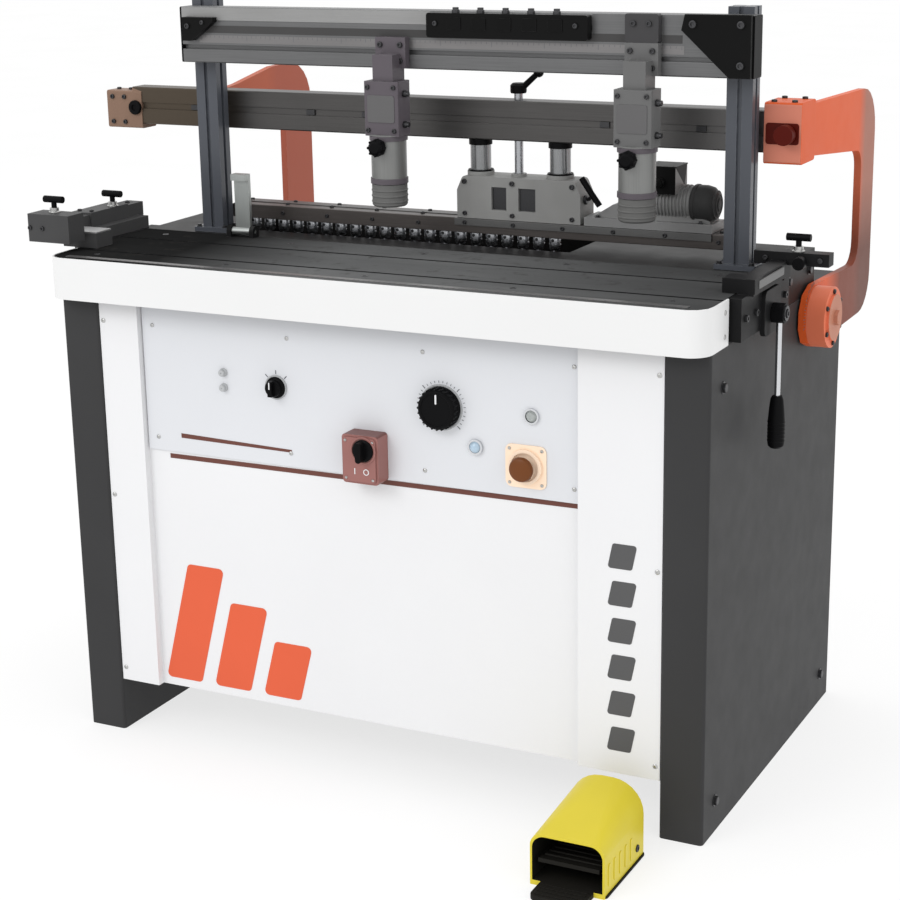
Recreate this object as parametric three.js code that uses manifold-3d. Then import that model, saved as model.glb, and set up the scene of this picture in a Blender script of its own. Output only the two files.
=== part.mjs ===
import * as THREE from 'three';
import { mergeVertices, mergeGeometries } from 'three/addons/utils/BufferGeometryUtils.js';
import Module from 'manifold-3d';

// Multi-spindle boring machine. Millimetres, +Z up, the operator stands at -Y.
// Working frame: X = 0 at the middle of the stand, Y = 0 at the front of the
// side casings, Z = 0 at the floor. The whole group is centred at the end.

const wasm = await Module();
wasm.setup();

// ---- driving constants -------------------------------------------------
const CASE_IN = 554, CASE_OUT = 633, CASE_D = 740, CASE_H = 857, CASE_T = 3;
const GAP = 0.3;
const TABLE_Z = 935, TABLE_T = 8, TABLE_X = 632.5, TABLE_SPLIT = 284, BED_END = 555;
const HUB_Y = 505, HUB_Z = 820;
const ARM_IN = 636.5, ARM_OUT = 650.5;
const HEAD_Y = 385;
const BAR_Y0 = 363, BAR_Y1 = 407, BAR_Z0 = 1128, BAR_Z1 = 1200;
const BAR_LEFT = -766, BAR_RIGHT = 650;
const SPINDLES = 21, PITCH = 32, SPINDLE_X0 = -445;
const BLOCK_Z0 = 957, BLOCK_Z1 = 984;
const COL_L = 47, SCREW_X = 124, COL_R = 206, COL_RAD = 19;
const POST_W = 46, POST_D = 37, POST_Y = 322, POST_XL = -491.5, POST_XR = 568, POST_TOP = 1376;
const BEAM_Y0 = 262, BEAM_Y1 = 303, BEAM_Z0 = 1262, BEAM_Z1 = 1364;
const PRESS_XL = -62, PRESS_XR = 414, PRESS_Y = 232, BARREL = 32;
const PANEL_Z0 = 104, PANEL_Z1 = 856.5, RECESS_Y = 20;
const CP_Y0 = 15.5, CP_Y1 = 19.7;

// ---- geometry helpers ---------------------------------------------------
function strip(g) {
  const h = g.clone();
  for (const k of Object.keys(h.attributes)) if (k !== 'position') h.deleteAttribute(k);
  return mergeVertices(h, 1e-4);
}
function solid(g) {
  const h = strip(g);
  return new wasm.Manifold(new wasm.Mesh({
    numProp: 3,
    vertProperties: new Float32Array(h.attributes.position.array),
    triVerts: new Uint32Array(h.index.array),
  }));
}
function back(m) {
  const r = m.getMesh();
  const g = new THREE.BufferGeometry();
  g.setAttribute('position', new THREE.BufferAttribute(new Float32Array(r.vertProperties), 3));
  g.setIndex(new THREE.BufferAttribute(new Uint32Array(r.triVerts), 1));
  return g;
}
const box = (x0, x1, y0, y1, z0, z1) => {
  const g = new THREE.BoxGeometry(x1 - x0, y1 - y0, z1 - z0);
  g.translate((x0 + x1) / 2, (y0 + y1) / 2, (z0 + z1) / 2);
  return solid(g);
};
function outline(pts) {
  const s = new THREE.Shape();
  pts.forEach((p, i) => (i ? s.lineTo(p[0], p[1]) : s.moveTo(p[0], p[1])));
  s.closePath();
  return s;
}
// rounds the corners of a polygon: each point is [u, v] or [u, v, radius]
function rounded(pts, seg = 4) {
  const out = [];
  const n = pts.length;
  for (let i = 0; i < n; i++) {
    const p = pts[i], a = pts[(i + n - 1) % n], b = pts[(i + 1) % n];
    const r = p[2] || 0;
    if (!r) { out.push([p[0], p[1]]); continue; }
    const v1 = new THREE.Vector2(a[0] - p[0], a[1] - p[1]).normalize();
    const v2 = new THREE.Vector2(b[0] - p[0], b[1] - p[1]).normalize();
    const half = Math.acos(Math.max(-1, Math.min(1, v1.dot(v2)))) / 2;
    const d = r / Math.tan(half);
    const mid = v1.clone().add(v2).normalize().multiplyScalar(r / Math.sin(half));
    const c = new THREE.Vector2(p[0], p[1]).add(mid);
    const s = new THREE.Vector2(p[0], p[1]).add(v1.clone().multiplyScalar(d)).sub(c);
    const e = new THREE.Vector2(p[0], p[1]).add(v2.clone().multiplyScalar(d)).sub(c);
    const a0 = Math.atan2(s.y, s.x);
    let da = Math.atan2(e.y, e.x) - a0;
    while (da > Math.PI) da -= 2 * Math.PI;
    while (da < -Math.PI) da += 2 * Math.PI;
    for (let k = 0; k <= seg; k++) {
      const t = a0 + (da * k) / seg;
      out.push([c.x + r * Math.cos(t), c.y + r * Math.sin(t)]);
    }
  }
  return out;
}
const rect = (u0, u1, v0, v1, r = 0, seg = 4) =>
  rounded([[u0, v0, r], [u1, v0, r], [u1, v1, r], [u0, v1, r]], seg);
// extrudes a polygon along an axis; 'x': (y, z), 'y': (x, z), 'z': (x, y)
function prism(axis, pts, a0, a1) {
  const g = new THREE.ExtrudeGeometry(outline(pts), { depth: a1 - a0, bevelEnabled: false, steps: 1 });
  const m = new THREE.Matrix4();
  if (axis === 'z') m.set(1, 0, 0, 0, 0, 1, 0, 0, 0, 0, 1, a0, 0, 0, 0, 1);
  if (axis === 'x') m.set(0, 0, 1, a0, 1, 0, 0, 0, 0, 1, 0, 0, 0, 0, 0, 1);
  if (axis === 'y') m.set(1, 0, 0, 0, 0, 0, -1, a1, 0, 1, 0, 0, 0, 0, 0, 1);
  g.applyMatrix4(m);
  return solid(g);
}
const circle = (u, v, r, seg) => {
  const p = [];
  for (let i = 0; i < seg; i++) {
    const t = (2 * Math.PI * (i + 0.5)) / seg;
    p.push([u + r * Math.cos(t), v + r * Math.sin(t)]);
  }
  return p;
};
const rod = (axis, u, v, r, a0, a1, seg = 20) => prism(axis, circle(u, v, r, seg), a0, a1);
// turned part about a vertical axis at (x, y); profile [r, z] from axis to axis
function turned(x, y, prof, seg = 16) {
  const g = new THREE.LatheGeometry(prof.map((p) => new THREE.Vector2(p[0], p[1])), seg);
  g.rotateX(Math.PI / 2);
  g.translate(x, y, 0);
  return solid(g);
}
// turned part about an axis along -Y; profile [r, d], d measured towards the operator
function turnedY(x, z, y0, prof, seg = 24) {
  const g = new THREE.LatheGeometry(prof.map((p) => new THREE.Vector2(p[0], p[1])), seg);
  g.rotateX(Math.PI);
  g.translate(x, y0, z);
  return solid(g);
}
const join = (...m) => m.reduce((a, b) => a.add(b));
const cut = (a, ...m) => m.reduce((x, y) => x.subtract(y), a);
const mirror = (m) => m.mirror([1, 0, 0]);

const pieces = [];
function add(name, m, colour, rough = 0.5, metal = 0.0) {
  const g = back(m).toNonIndexed();
  g.computeVertexNormals();
  const mesh = new THREE.Mesh(g, new THREE.MeshStandardMaterial({ color: colour, roughness: rough, metalness: metal }));
  mesh.name = name;
  pieces.push(mesh);
}

// ---- colours --------------------------------------------------------------
const GREY = 0x555555, WHITE = 0xf0f0f0, ORANGE = 0xec7046, DARK = 0x2e2d2d, BLACK = 0x151515;
const MID = 0x8a8a8a, STEEL = 0xb8babd, BAR = 0x484848, POSTC = 0x3a434c, BEAMC = 0x757575;

// ---- stand ------------------------------------------------------------------
function casing() {
  let m = cut(
    prism('z', rect(CASE_IN, CASE_OUT, 0, CASE_D, 6, 3), 0, CASE_H),
    prism('z', rect(CASE_IN + CASE_T, CASE_OUT - CASE_T, CASE_T, CASE_D - CASE_T, 3.5, 3), 5, CASE_H - CASE_T),
    prism('x', rect(120, 430, 250, 700, 14, 3), CASE_IN - 5, CASE_IN + CASE_T + 5),
  );
  m = join(m, rod('x', HUB_Y, HUB_Z, 34, CASE_OUT - 2, ARM_IN - GAP, 28));
  return cut(m, rod('x', HUB_Y, HUB_Z, 20.4, CASE_OUT - 20, ARM_IN + 5, 28));
}
add('side_casing_right', casing(), GREY);
add('side_casing_left', mirror(casing()), GREY);

const SEL = [-185, 721], SWITCH = [2.5, 618], SWH = [11, 636], DIAL = [144, 718], STOP = [303, 631];
{
  const e = CASE_IN - 0.6, a = -470, b = 402, y = 4, t = 2, r = RECESS_Y;
  const p = [[-e, 34], [-e, y], [a, y], [a, r], [b, r], [b, y], [e, y], [e, 34],
    [e - t, 34], [e - t, y + t], [b + t, y + t], [b + t, r + t], [a - t, r + t], [a - t, y + t], [-e + t, y + t], [-e + t, 34]];
  let m = prism('z', p, PANEL_Z0, PANEL_Z1);
  for (const [q, rr] of [[SEL, 5.5], [DIAL, 6.5], [STOP, 9]]) m = cut(m, rod('y', q[0], q[1], rr, 0, 40, 16));
  add('front_panel', m, WHITE);

  let c = prism('y', rect(a + 2.5, b - 2.5, 576, 853, 3, 2), CP_Y0, CP_Y1);
  c = join(c, turnedY(314, 720, CP_Y0 + 1, [[0, 0], [10, 0], [10, 4], [7, 8], [0, 10]], 16));
  for (const [q, rr] of [[SEL, 5.5], [DIAL, 6.5], [STOP, 9]]) c = cut(c, rod('y', q[0], q[1], rr, 0, 40, 16));
  add('control_panel', c, 0xdfe3e6);
}
{
  const e = CASE_IN - 0.6;
  const p = [[-e, 530], [-e + 2, 530], [-e + 2, 551], [e - 2, 551], [e - 2, 530], [e, 530], [e, 553], [-e, 553]];
  let m = prism('z', p, PANEL_Z0, PANEL_Z1);
  for (let i = 0; i < 6; i++) m = cut(m, prism('y', rect(-150, 150, 520 + i * 26, 528 + i * 26, 3.9, 3), 540, 560));
  add('rear_panel', m, GREY);
}

// controls
{
  let k = turnedY(SEL[0], SEL[1], CP_Y0 - GAP, [[0, 0], [19, 0], [19, 5], [15, 6.5], [15, 15], [13.5, 17], [0, 17]], 24);
  k = join(k, box(SEL[0] - 4, SEL[0] + 4, CP_Y0 - 25, CP_Y0 - 12, SEL[1] - 13, SEL[1] + 15));
  k = join(k, rod('y', SEL[0], SEL[1], 5, CP_Y0 - 5, 44, 14));
  add('selector_knob', k, BLACK);

  let b = prism('y', rect(SWITCH[0] - 35.5, SWITCH[0] + 35.5, 574, 662, 6, 3), -22, CP_Y0 - GAP);
  b = cut(b, rod('y', SWH[0], SWH[1], 5.5, -30, 4, 14));
  add('main_switch_box', b, 0xb5342a);

  let h = turnedY(SWH[0], SWH[1], -22 - GAP, [[0, 0], [20, 0], [20, 6], [17, 8], [0, 8]], 24);
  h = join(h, prism('y', rect(SWH[0] - 5.5, SWH[0] + 5.5, SWH[1] - 18, SWH[1] + 18, 5, 3), -46, -26));
  h = join(h, rod('y', SWH[0], SWH[1], 5, -25, 2, 14));
  add('main_switch_handle', h, BLACK);

  let d = turnedY(DIAL[0], DIAL[1], CP_Y0 - GAP, [[0, 0], [37, 0], [37, 7], [35, 9], [35, 20], [32.5, 22.5], [29, 22.5], [28, 20.5], [0, 20.5]], 36);
  d = join(d, rod('y', DIAL[0], DIAL[1], 6, CP_Y0 - 5, 44, 14));
  add('regulator_dial', d, BLACK);

  let s = turnedY(STOP[0], STOP[1], CP_Y0 - 12, [[0, 0], [13, 0], [14, 4], [21, 6], [22, 10], [20, 15], [13, 18], [0, 19]], 28);
  s = join(s, rod('y', STOP[0], STOP[1], 8.5, CP_Y0 - 14, 46, 16));
  add('stop_button', s, 0xc2542c);
}

// ---- table --------------------------------------------------------------------
{
  const w = 637, f = -40, r = 38, t = 4;
  const outer = rounded([[-w, 70], [-w, f, r], [w, f, r], [w, 70]], 6);
  const inner = rounded([[w - t, 70], [w - t, f + t, r - t], [-w + t, f + t, r - t], [-w + t, 70]], 6);
  add('table_front_rail', prism('z', outer.concat(inner), CASE_H + 1, TABLE_Z), WHITE);
}
{
  const f = -35.5, x = TABLE_X;
  let m = cut(
    prism('z', rounded([[-x, TABLE_SPLIT], [-x, f, 33.5], [x, f, 33.5], [x, TABLE_SPLIT]], 6), CASE_H + GAP, TABLE_Z),
    prism('z', rounded([[-x + 8, TABLE_SPLIT - 8], [-x + 8, f + 8, 26], [x - 8, f + 8, 26], [x - 8, TABLE_SPLIT - 8]], 6), CASE_H - 5, TABLE_Z - TABLE_T),
  );
  for (const y of [52, 188]) m = cut(m, box(-x - 1, x + 1, y - 4, y + 4, TABLE_Z - 3, TABLE_Z + 5));
  // ears that carry the flip stop
  for (const s of [-1, 1]) {
    const x0 = -405 + s * 25;
    let ear = prism('x', rounded([[261, TABLE_Z - 2], [283, TABLE_Z - 2], [283, 957, 10], [261, 957, 10]], 4), x0 - 4.5, x0 + 4.5);
    ear = cut(ear, rod('x', 272, 946, 4.4, x0 - 10, x0 + 10, 14));
    m = join(m, ear);
  }
  add('table_top', m, 0x6b6b6b);
}
{
  const x = TABLE_X, y0 = TABLE_SPLIT + 0.4, y1 = BED_END;
  let m = cut(box(-x, x, y0, y1, CASE_H + GAP, TABLE_Z), box(-x + 8, x - 8, y0 + 8, y1 - 8, CASE_H - 5, TABLE_Z - TABLE_T));
  m = join(m, box(-492, 246, 341, 527, 872, TABLE_Z - 2));
  m = cut(m, box(-486, 240, 347, 521, 877, TABLE_Z + 5));
  add('table_rear_bed', m, DARK);
}
add('flip_stop', join(
  rod('x', 272, 946, 8, -405 - 20, -405 + 20, 18),
  rod('x', 272, 946, 4, -405 - 28, -405 + 28, 14),
  box(-417, -385, 268, 276, 946, 1052),
  box(-417, -385, 256, 276, 1044, 1056),
), 0xc6c9c6);

// end stops: carrier at the table end, bar on top of it, two clamp screws with T grips
function endStop(s) {
  const x0 = TABLE_X + GAP, x1 = 655;
  let m = box(x0, x1, 78, 330, 862, 934);
  return { m, x0, x1 };
}
function tGrip(x, y, z) {
  return join(
    rod('z', x, y, 5, z - 3, z + 22, 14),
    rod('x', y, z + 24, 6.5, x - 21, x + 21, 14),
  );
}
{
  const { m: carrier } = endStop(1);
  let m = join(carrier, box(636, 664, 110, 286, TABLE_Z - 3, 960), box(610, 666, 110, 150, TABLE_Z + GAP + 0.2, 960));
  m = join(m, box(640, 660, 285, 321, 926, 956), box(604, 735, 289, 317, 952, 974));
  m = join(m, tGrip(678, 303, 974), rod('y', 690, 960, 5, 276, 292, 14), rod('y', 690, 960, 11, 262, 277, 18));
  // block that carries the lock lever
  m = join(m, prism('x', rect(176, 260, 850, 927, 12, 3), 654, 663));
  m = cut(m, rod('x', 219, 885, 6.4, 640, 670, 14));
  add('end_stop_right', m, DARK);
}
{
  let m = box(-655, -TABLE_X - GAP, 78, 330, 862, 934);
  m = join(m, box(-702, -610, 4, 52, 952, 1004), box(-690, -640, 90, 300, 930, 958));
  m = join(m, box(-702, -664, 4, 318, 955, 982), box(-706, -660, 142, 262, 940, 986));
  m = join(m, box(-668, -592, 62, 112, TABLE_Z + GAP + 0.2, 963));
  m = join(m, tGrip(-662, 34, 1004), tGrip(-670, 226, 986));
  add('end_stop_left', m, DARK);
}
add('tilt_lock_lever', join(
  rod('x', 219, 885, 17, 663.3, 685, 24),
  rod('x', 219, 885, 6, 645, 664, 14),
  rod('z', 674, 219, 5, 735, 880, 14),
  turned(674, 219, [[0, 655], [8, 656], [11.5, 661], [11.5, 700], [9, 735], [7, 741], [0, 741]], 16),
), BLACK);

// ---- hold-down gantry ----------------------------------------------------------
function post(xc, top) {
  const a = POST_W / 2, b = POST_D / 2, g = 4, d = 5;
  const y0 = POST_Y - b, y1 = POST_Y + b, x0 = xc - a, x1 = xc + a;
  const p = [[x0, y0], [xc - g, y0], [xc - g, y0 + d], [xc + g, y0 + d], [xc + g, y0], [x1, y0],
    [x1, POST_Y - g], [x1 - d, POST_Y - g], [x1 - d, POST_Y + g], [x1, POST_Y + g], [x1, y1],
    [xc + g, y1], [xc + g, y1 - d], [xc - g, y1 - d], [xc - g, y1], [x0, y1],
    [x0, POST_Y + g], [x0 + d, POST_Y + g], [x0 + d, POST_Y - g], [x0, POST_Y - g]];
  return join(prism('z', p, TABLE_Z + GAP, top), prism('z', rect(xc - 38, xc + 38, 292, 340, 5, 2), TABLE_Z + GAP, TABLE_Z + 9));
}
add('gantry_post_left', post(POST_XL, POST_TOP), POSTC, 0.4, 0.5);
add('gantry_post_right', post(POST_XR, POST_TOP), POSTC, 0.4, 0.5);
{
  const y0 = BEAM_Y0, y1 = BEAM_Y1, z0 = BEAM_Z0, z1 = BEAM_Z1;
  const slot = (z) => [[y0, z + 4], [y0 + 3, z + 4], [y0 + 3, z + 8], [y0 + 9, z + 8], [y0 + 9, z - 8], [y0 + 3, z - 8], [y0 + 3, z - 4], [y0, z - 4]];
  const p = [[y0 + 2, z0], [y1, z0], [y1, z1], [y0 + 2, z1], [y0, z1 - 2], ...slot(1340), ...slot(1291), [y0, z0 + 2]];
  add('gantry_beam', prism('x', p, -512, 602), BEAMC, 0.35, 0.7);
}
function presser(side, xc, y) {
  const zf = 1021, zb = 1062;
  // body: slide plate on the beam, neck, clamp block, cylinder barrel
  let m = box(xc - 30, xc + 30, BEAM_Y0 - 16, BEAM_Y0 - GAP, 1264, 1318);
  m = join(m, box(xc - 20, xc + 20, y - 17, BEAM_Y0 - 2, 1240, 1290));
  m = join(m, prism('z', rect(xc - 35, xc + 35, y - 26, y + 22, 5, 2), 1148, 1244));
  m = join(m, rod('z', xc, y, BARREL, zb, 1150, 28));
  m = cut(m, rod('z', xc, y, 8.4, zb - 5, 1205, 16), rod('y', xc, 1130, 5.3, y - 40, y - 17, 14), box(xc - 31, xc + 31, BEAM_Y0 - GAP, BEAM_Y0 + 5, 1200, 1330));
  add(`presser_${side}_body`, m, MID, 0.4, 0.5);
  add(`presser_${side}_rod`, join(
    turned(xc, y, [[0, zf], [BARREL - 3, zf], [BARREL, zf + 3], [BARREL, zb - 0.6], [8, zb - 0.6], [8, 1195], [0, 1197]], 24),
  ), 0x7b7b7b, 0.5, 0.2);
  add(`presser_${side}_knob`, join(
    turnedY(xc, 1130, y - 34, [[0, 0], [9, 0], [14.5, 4], [15.5, 10], [14, 18], [9, 22], [0, 22]], 20),
    rod('y', xc, 1130, 4.9, y - 38, y - 18, 14),
  ), BLACK);
}
presser('left', PRESS_XL, PRESS_Y);
presser('right', PRESS_XR, PRESS_Y);

// ---- tilting head frame ----------------------------------------------------------
// C-shaped plate from the hub, round the back and forward to the crossbar
function arm(front, inner, outer, top = 1194) {
  const p = rounded([
    ...front, [outer, top, 84],
    [outer, 768, 70], [505, 763, 0],
    [467, 777], [450, 805], [450, 835], [467, 863], [505, 877],
    [inner[0], 868, 40], inner,
  ], 6);
  return cut(prism('x', p, ARM_IN, ARM_OUT), rod('x', HUB_Y, HUB_Z, 20.4, 600, 700, 28));
}
{
  // right: the crossbar end sits in a sleeve; left: a foot plate bolted to its rear face
  let right = arm([[345, 1124], [345, 1208], [470, 1203, 30]], [779, 1082, 34], 868);
  right = join(right, prism('x', rect(345, 425, 1112, 1216, 6, 3), 598, 664));
  right = cut(right, prism('x', rect(BAR_Y0 - 0.4, BAR_Y1 + 0.4, BAR_Z0 - 0.4, BAR_Z1 + 0.4), 590, BAR_RIGHT + 0.4), rod('y', 640, 1164, 8.4, 340, 370, 16));
  add('tilt_arm_right', right, ORANGE);
  let left = arm([[BAR_Y1 + 0.4, 1131], [BAR_Y1 + 0.4, 1160], [640, 1180, 80], [780, 1203, 80]], [826, 1112, 40], 936, 1206);
  left = join(left, box(610, 672, BAR_Y1 + 0.4, 419, 1138, 1188));
  add('tilt_arm_left', mirror(left), ORANGE);
  const hub = join(
    rod('x', HUB_Y, HUB_Z, 20, 606, 652, 28),
    rod('x', HUB_Y, HUB_Z, 55, ARM_OUT + GAP, 684, 40),
    rod('x', HUB_Y, HUB_Z, 42, 683, 689, 36),
    rod('x', HUB_Y, HUB_Z, 14, 688, 696, 6),
  );
  add('pivot_hub_right', hub, ORANGE);
  add('pivot_hub_left', mirror(hub), ORANGE);
}
{
  const y0 = BAR_Y0, y1 = BAR_Y1, z0 = BAR_Z0, z1 = BAR_Z1;
  const p = [[y0 + 2, z0], [y1 - 2, z0], [y1, z0 + 2], [y1, z1 - 2], [y1 - 2, z1], [y0 + 2, z1], [y0, z1 - 2],
    [y0, 1170], [y0 + 4, 1170], [y0 + 4, 1158], [y0, 1158], [y0, z0 + 2]];
  let m = join(prism('x', p, BAR_LEFT + 60, BAR_RIGHT), prism('x', rect(BAR_Y0 - 2, BAR_Y1 + 2, BAR_Z0 - 9, BAR_Z1 - 8, 4, 2), BAR_LEFT, BAR_LEFT + 82));
  // clamp screw through the sleeve of the right arm
  m = join(m, rod('y', 640, 1164, 8, 335, 365, 16), rod('y', 640, 1164, 17, 318, 336, 20));
  for (const x of [COL_L, COL_R]) m = cut(m, rod('z', x, HEAD_Y, 8.3, z0 - 5, 1170, 16));
  m = cut(m, rod('z', SCREW_X, HEAD_Y, 8.4, z0 - 5, z1 + 5, 16));
  add('crossbar', m, BAR, 0.4, 0.5);
}
for (const [n, x] of [['left', COL_L], ['right', COL_R]]) {
  add(`guide_column_${n}`, turned(x, HEAD_Y, [
    [0, 1030], [COL_RAD - 1, 1030], [COL_RAD, 1031], [COL_RAD, 1117], [21.5, 1117], [21.5, BAR_Z0 - GAP], [8, BAR_Z0 - GAP], [8, 1168], [0, 1168],
  ], 28), STEEL, 0.2, 0.9);
}
{
  // depth stop: screw standing in the carriage, lever grip above the crossbar
  const lever = new THREE.CylinderGeometry(5, 6, 52, 14);
  lever.rotateX(Math.PI / 2);
  lever.rotateY(0.85);
  lever.translate(SCREW_X + 21, HEAD_Y, 1233);
  const ball = new THREE.SphereGeometry(9.5, 14, 10);
  ball.translate(SCREW_X + 40, HEAD_Y, 1250);
  add('depth_stop_screw', join(
    turned(SCREW_X, HEAD_Y, [[0, 1020], [8, 1021], [8, 1213], [0, 1213]], 16),
    turned(SCREW_X, HEAD_Y, [[0, 1212], [14, 1212], [15, 1215], [15, 1226], [11, 1230], [0, 1230]], 18),
    solid(lever), solid(ball),
  ), BLACK);
}
{
  // carriage: stepped casting on the spindle block
  const p = rounded([[12, 984.4], [258, 984.4], [258, 1036, 6], [246, 1062, 8], [24, 1062, 8], [12, 1036, 6]], 3);
  let m = prism('y', p, 354, 416);
  for (const x of [COL_L, COL_R]) m = join(m, rod('z', x, HEAD_Y, 25, 1058, 1069, 28));
  m = join(m, rod('z', SCREW_X, HEAD_Y, 14, 1058, 1067, 20));
  for (const x of [COL_L, COL_R]) m = cut(m, rod('z', x, HEAD_Y, COL_RAD + 0.4, 993, 1090, 28));
  m = cut(m, rod('z', SCREW_X, HEAD_Y, 8.4, 1015, 1090, 16));
  m = cut(m, box(82, 112, 340, 360, 1002, 1044), box(136, 170, 340, 360, 1002, 1044));
  add('head_carriage', m, MID, 0.45, 0.4);
}
{
  let m = prism('y', rect(-478, 532, BLOCK_Z0, BLOCK_Z1, 4, 2), 353, 417);
  for (let i = 0; i < SPINDLES; i++) m = cut(m, rod('z', SPINDLE_X0 + i * PITCH, HEAD_Y, 5.5, BLOCK_Z0 - 5, 977, 10));
  add('spindle_block', m, 0x333231, 0.45, 0.4);
}
for (let i = 0; i < SPINDLES; i++) {
  const n = String(i + 1).padStart(2, '0');
  add(`spindle_${n}`, turned(SPINDLE_X0 + i * PITCH, HEAD_Y, [
    [0, 909], [4, 913], [4, 929], [8.5, 930], [11, 934], [11, 956.4], [5, 956.4], [5, 975], [0, 975],
  ], 12), 0x9a9c9e, 0.3, 0.8);
}
{
  // motor: foot plate with a sloping web, finned body lying along X, fan cover, terminal box
  let m = box(266, 507, 352, 418, 984.4, 1000);
  m = join(m, prism('y', [[276, 998], [500, 998], [500, 1004], [470, 1022], [352, 1022], [336, 1026], [318, 1024]], 362, 408));
  const g = new THREE.LatheGeometry([[0, 344], [22, 344], [26, 348], [26, 360], [30, 362], [30, 462], [33, 464], [33, 486], [30, 498], [22, 506], [10, 510], [0, 510]]
    .map((q) => new THREE.Vector2(q[0], q[1])), 28);
  g.rotateZ(-Math.PI / 2);
  g.translate(0, HEAD_Y, 1031);
  m = join(m, solid(g), box(386, 441, 345, 404, 1050, 1098));
  add('spindle_motor', m, 0x3c3d3e, 0.5, 0.2);
}

// ---- foot pedal ------------------------------------------------------------------
{
  const xc = 487, y0 = -240, y1 = -68, t = 4;
  const slice = (half, top, r, zb, a0, a1) => prism('y', rounded([[xc - half, zb], [xc + half, zb], [xc + half, top, r], [xc - half, top, r]], 7), a0, a1);
  const hood = wasm.Manifold.hull([slice(66, 93, 22, 0, y0, y0 + 1), slice(66, 132, 56, 0, y1 - 1, y1)]);
  const inside = wasm.Manifold.hull([slice(62, 84, 18, 9, y0 - 22, y0 - 20), slice(62, 126.5, 52, 9, y1 - t - 1, y1 - t)]);
  let m = cut(join(hood, prism('z', rounded([[xc - 47, y0 + 10], [xc - 47, y0 - 50, 12], [xc + 47, y0 - 50, 12], [xc + 47, y0 + 10]], 4), 0, 9)), inside);
  m = cut(m, rod('x', -98, 26, 5.4, xc - 80, xc + 80, 14));
  add('pedal_cover', m, 0xf3de38, 0.45);
  const a = new THREE.BoxGeometry(108, 136, 7);
  a.translate(0, -68, 0);
  a.rotateX(-0.1);
  a.translate(xc, -98, 30);
  add('pedal_treadle', join(solid(a), rod('x', -98, 26, 9, xc - 54, xc + 54, 18), rod('x', -98, 26, 5, xc - 64.5, xc + 64.5, 14)), 0x1b1b1b);
}

// ---- centre the whole part on the floor --------------------------------------------
const all = new THREE.Box3();
for (const p of pieces) all.union(new THREE.Box3().setFromObject(p));
const cx = (all.min.x + all.max.x) / 2, cy = (all.min.y + all.max.y) / 2;
for (const p of pieces) p.geometry.translate(-cx, -cy, -all.min.z);

const group = new THREE.Group();
group.name = 'multi_spindle_boring_machine';
for (const p of pieces) group.add(p);
export default group;
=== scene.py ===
import math
import bpy
import bmesh
from mathutils import Matrix, Vector


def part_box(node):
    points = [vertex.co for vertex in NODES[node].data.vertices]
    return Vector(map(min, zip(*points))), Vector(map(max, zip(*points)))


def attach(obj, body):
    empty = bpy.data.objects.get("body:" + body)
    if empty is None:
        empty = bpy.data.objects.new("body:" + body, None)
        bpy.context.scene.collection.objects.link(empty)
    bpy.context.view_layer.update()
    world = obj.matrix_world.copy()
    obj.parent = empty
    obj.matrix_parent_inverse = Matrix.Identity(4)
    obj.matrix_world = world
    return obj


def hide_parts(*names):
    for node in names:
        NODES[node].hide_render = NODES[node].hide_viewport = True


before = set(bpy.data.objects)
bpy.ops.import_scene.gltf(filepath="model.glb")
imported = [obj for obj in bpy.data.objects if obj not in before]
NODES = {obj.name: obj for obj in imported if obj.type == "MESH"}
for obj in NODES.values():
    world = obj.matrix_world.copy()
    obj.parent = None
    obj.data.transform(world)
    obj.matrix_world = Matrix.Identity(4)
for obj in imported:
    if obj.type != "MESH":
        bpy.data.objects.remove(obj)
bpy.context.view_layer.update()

# ---- working frame ---------------------------------------------------------
# All pieces below are written in millimetres in the frame the part was drawn
# in: X = 0 at the middle of the stand, Y = 0 at the front of the side casings.
_lo, _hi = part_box("side_casing_left")
DX, DY = _lo.x + 0.6362, _lo.y


def W(x, y, z):
    return Vector((x / 1000 + DX, y / 1000 + DY, z / 1000))


# ---- camera -----------------------------------------------------------------
YAW, PITCH, ROLL = 0.468, 0.281, -0.018
cy, sy, cp, sp = math.cos(YAW), math.sin(YAW), math.cos(PITCH), math.sin(PITCH)
fwd = Vector((-sy * cp, cy * cp, -sp))
right = Vector((cy, sy, 0))
up = right.cross(fwd)
cr, sr = math.cos(ROLL), math.sin(ROLL)
r2 = right * cr + up * sr
u2 = up * cr - right * sr
cam_data = bpy.data.cameras.new("camera")
cam = bpy.data.objects.new("camera", cam_data)
bpy.context.scene.collection.objects.link(cam)
cam_data.lens = 80.667
cam_data.sensor_width = 36
cam_data.clip_start, cam_data.clip_end = 0.05, 60
m3 = Matrix((r2, u2, -fwd)).transposed()
cam.matrix_world = Matrix.Translation(W(1660.83, -2955.41, 1604.355)) @ m3.to_4x4()
bpy.context.scene.camera = cam

# ---- material helpers ----------------------------------------------------------


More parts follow.
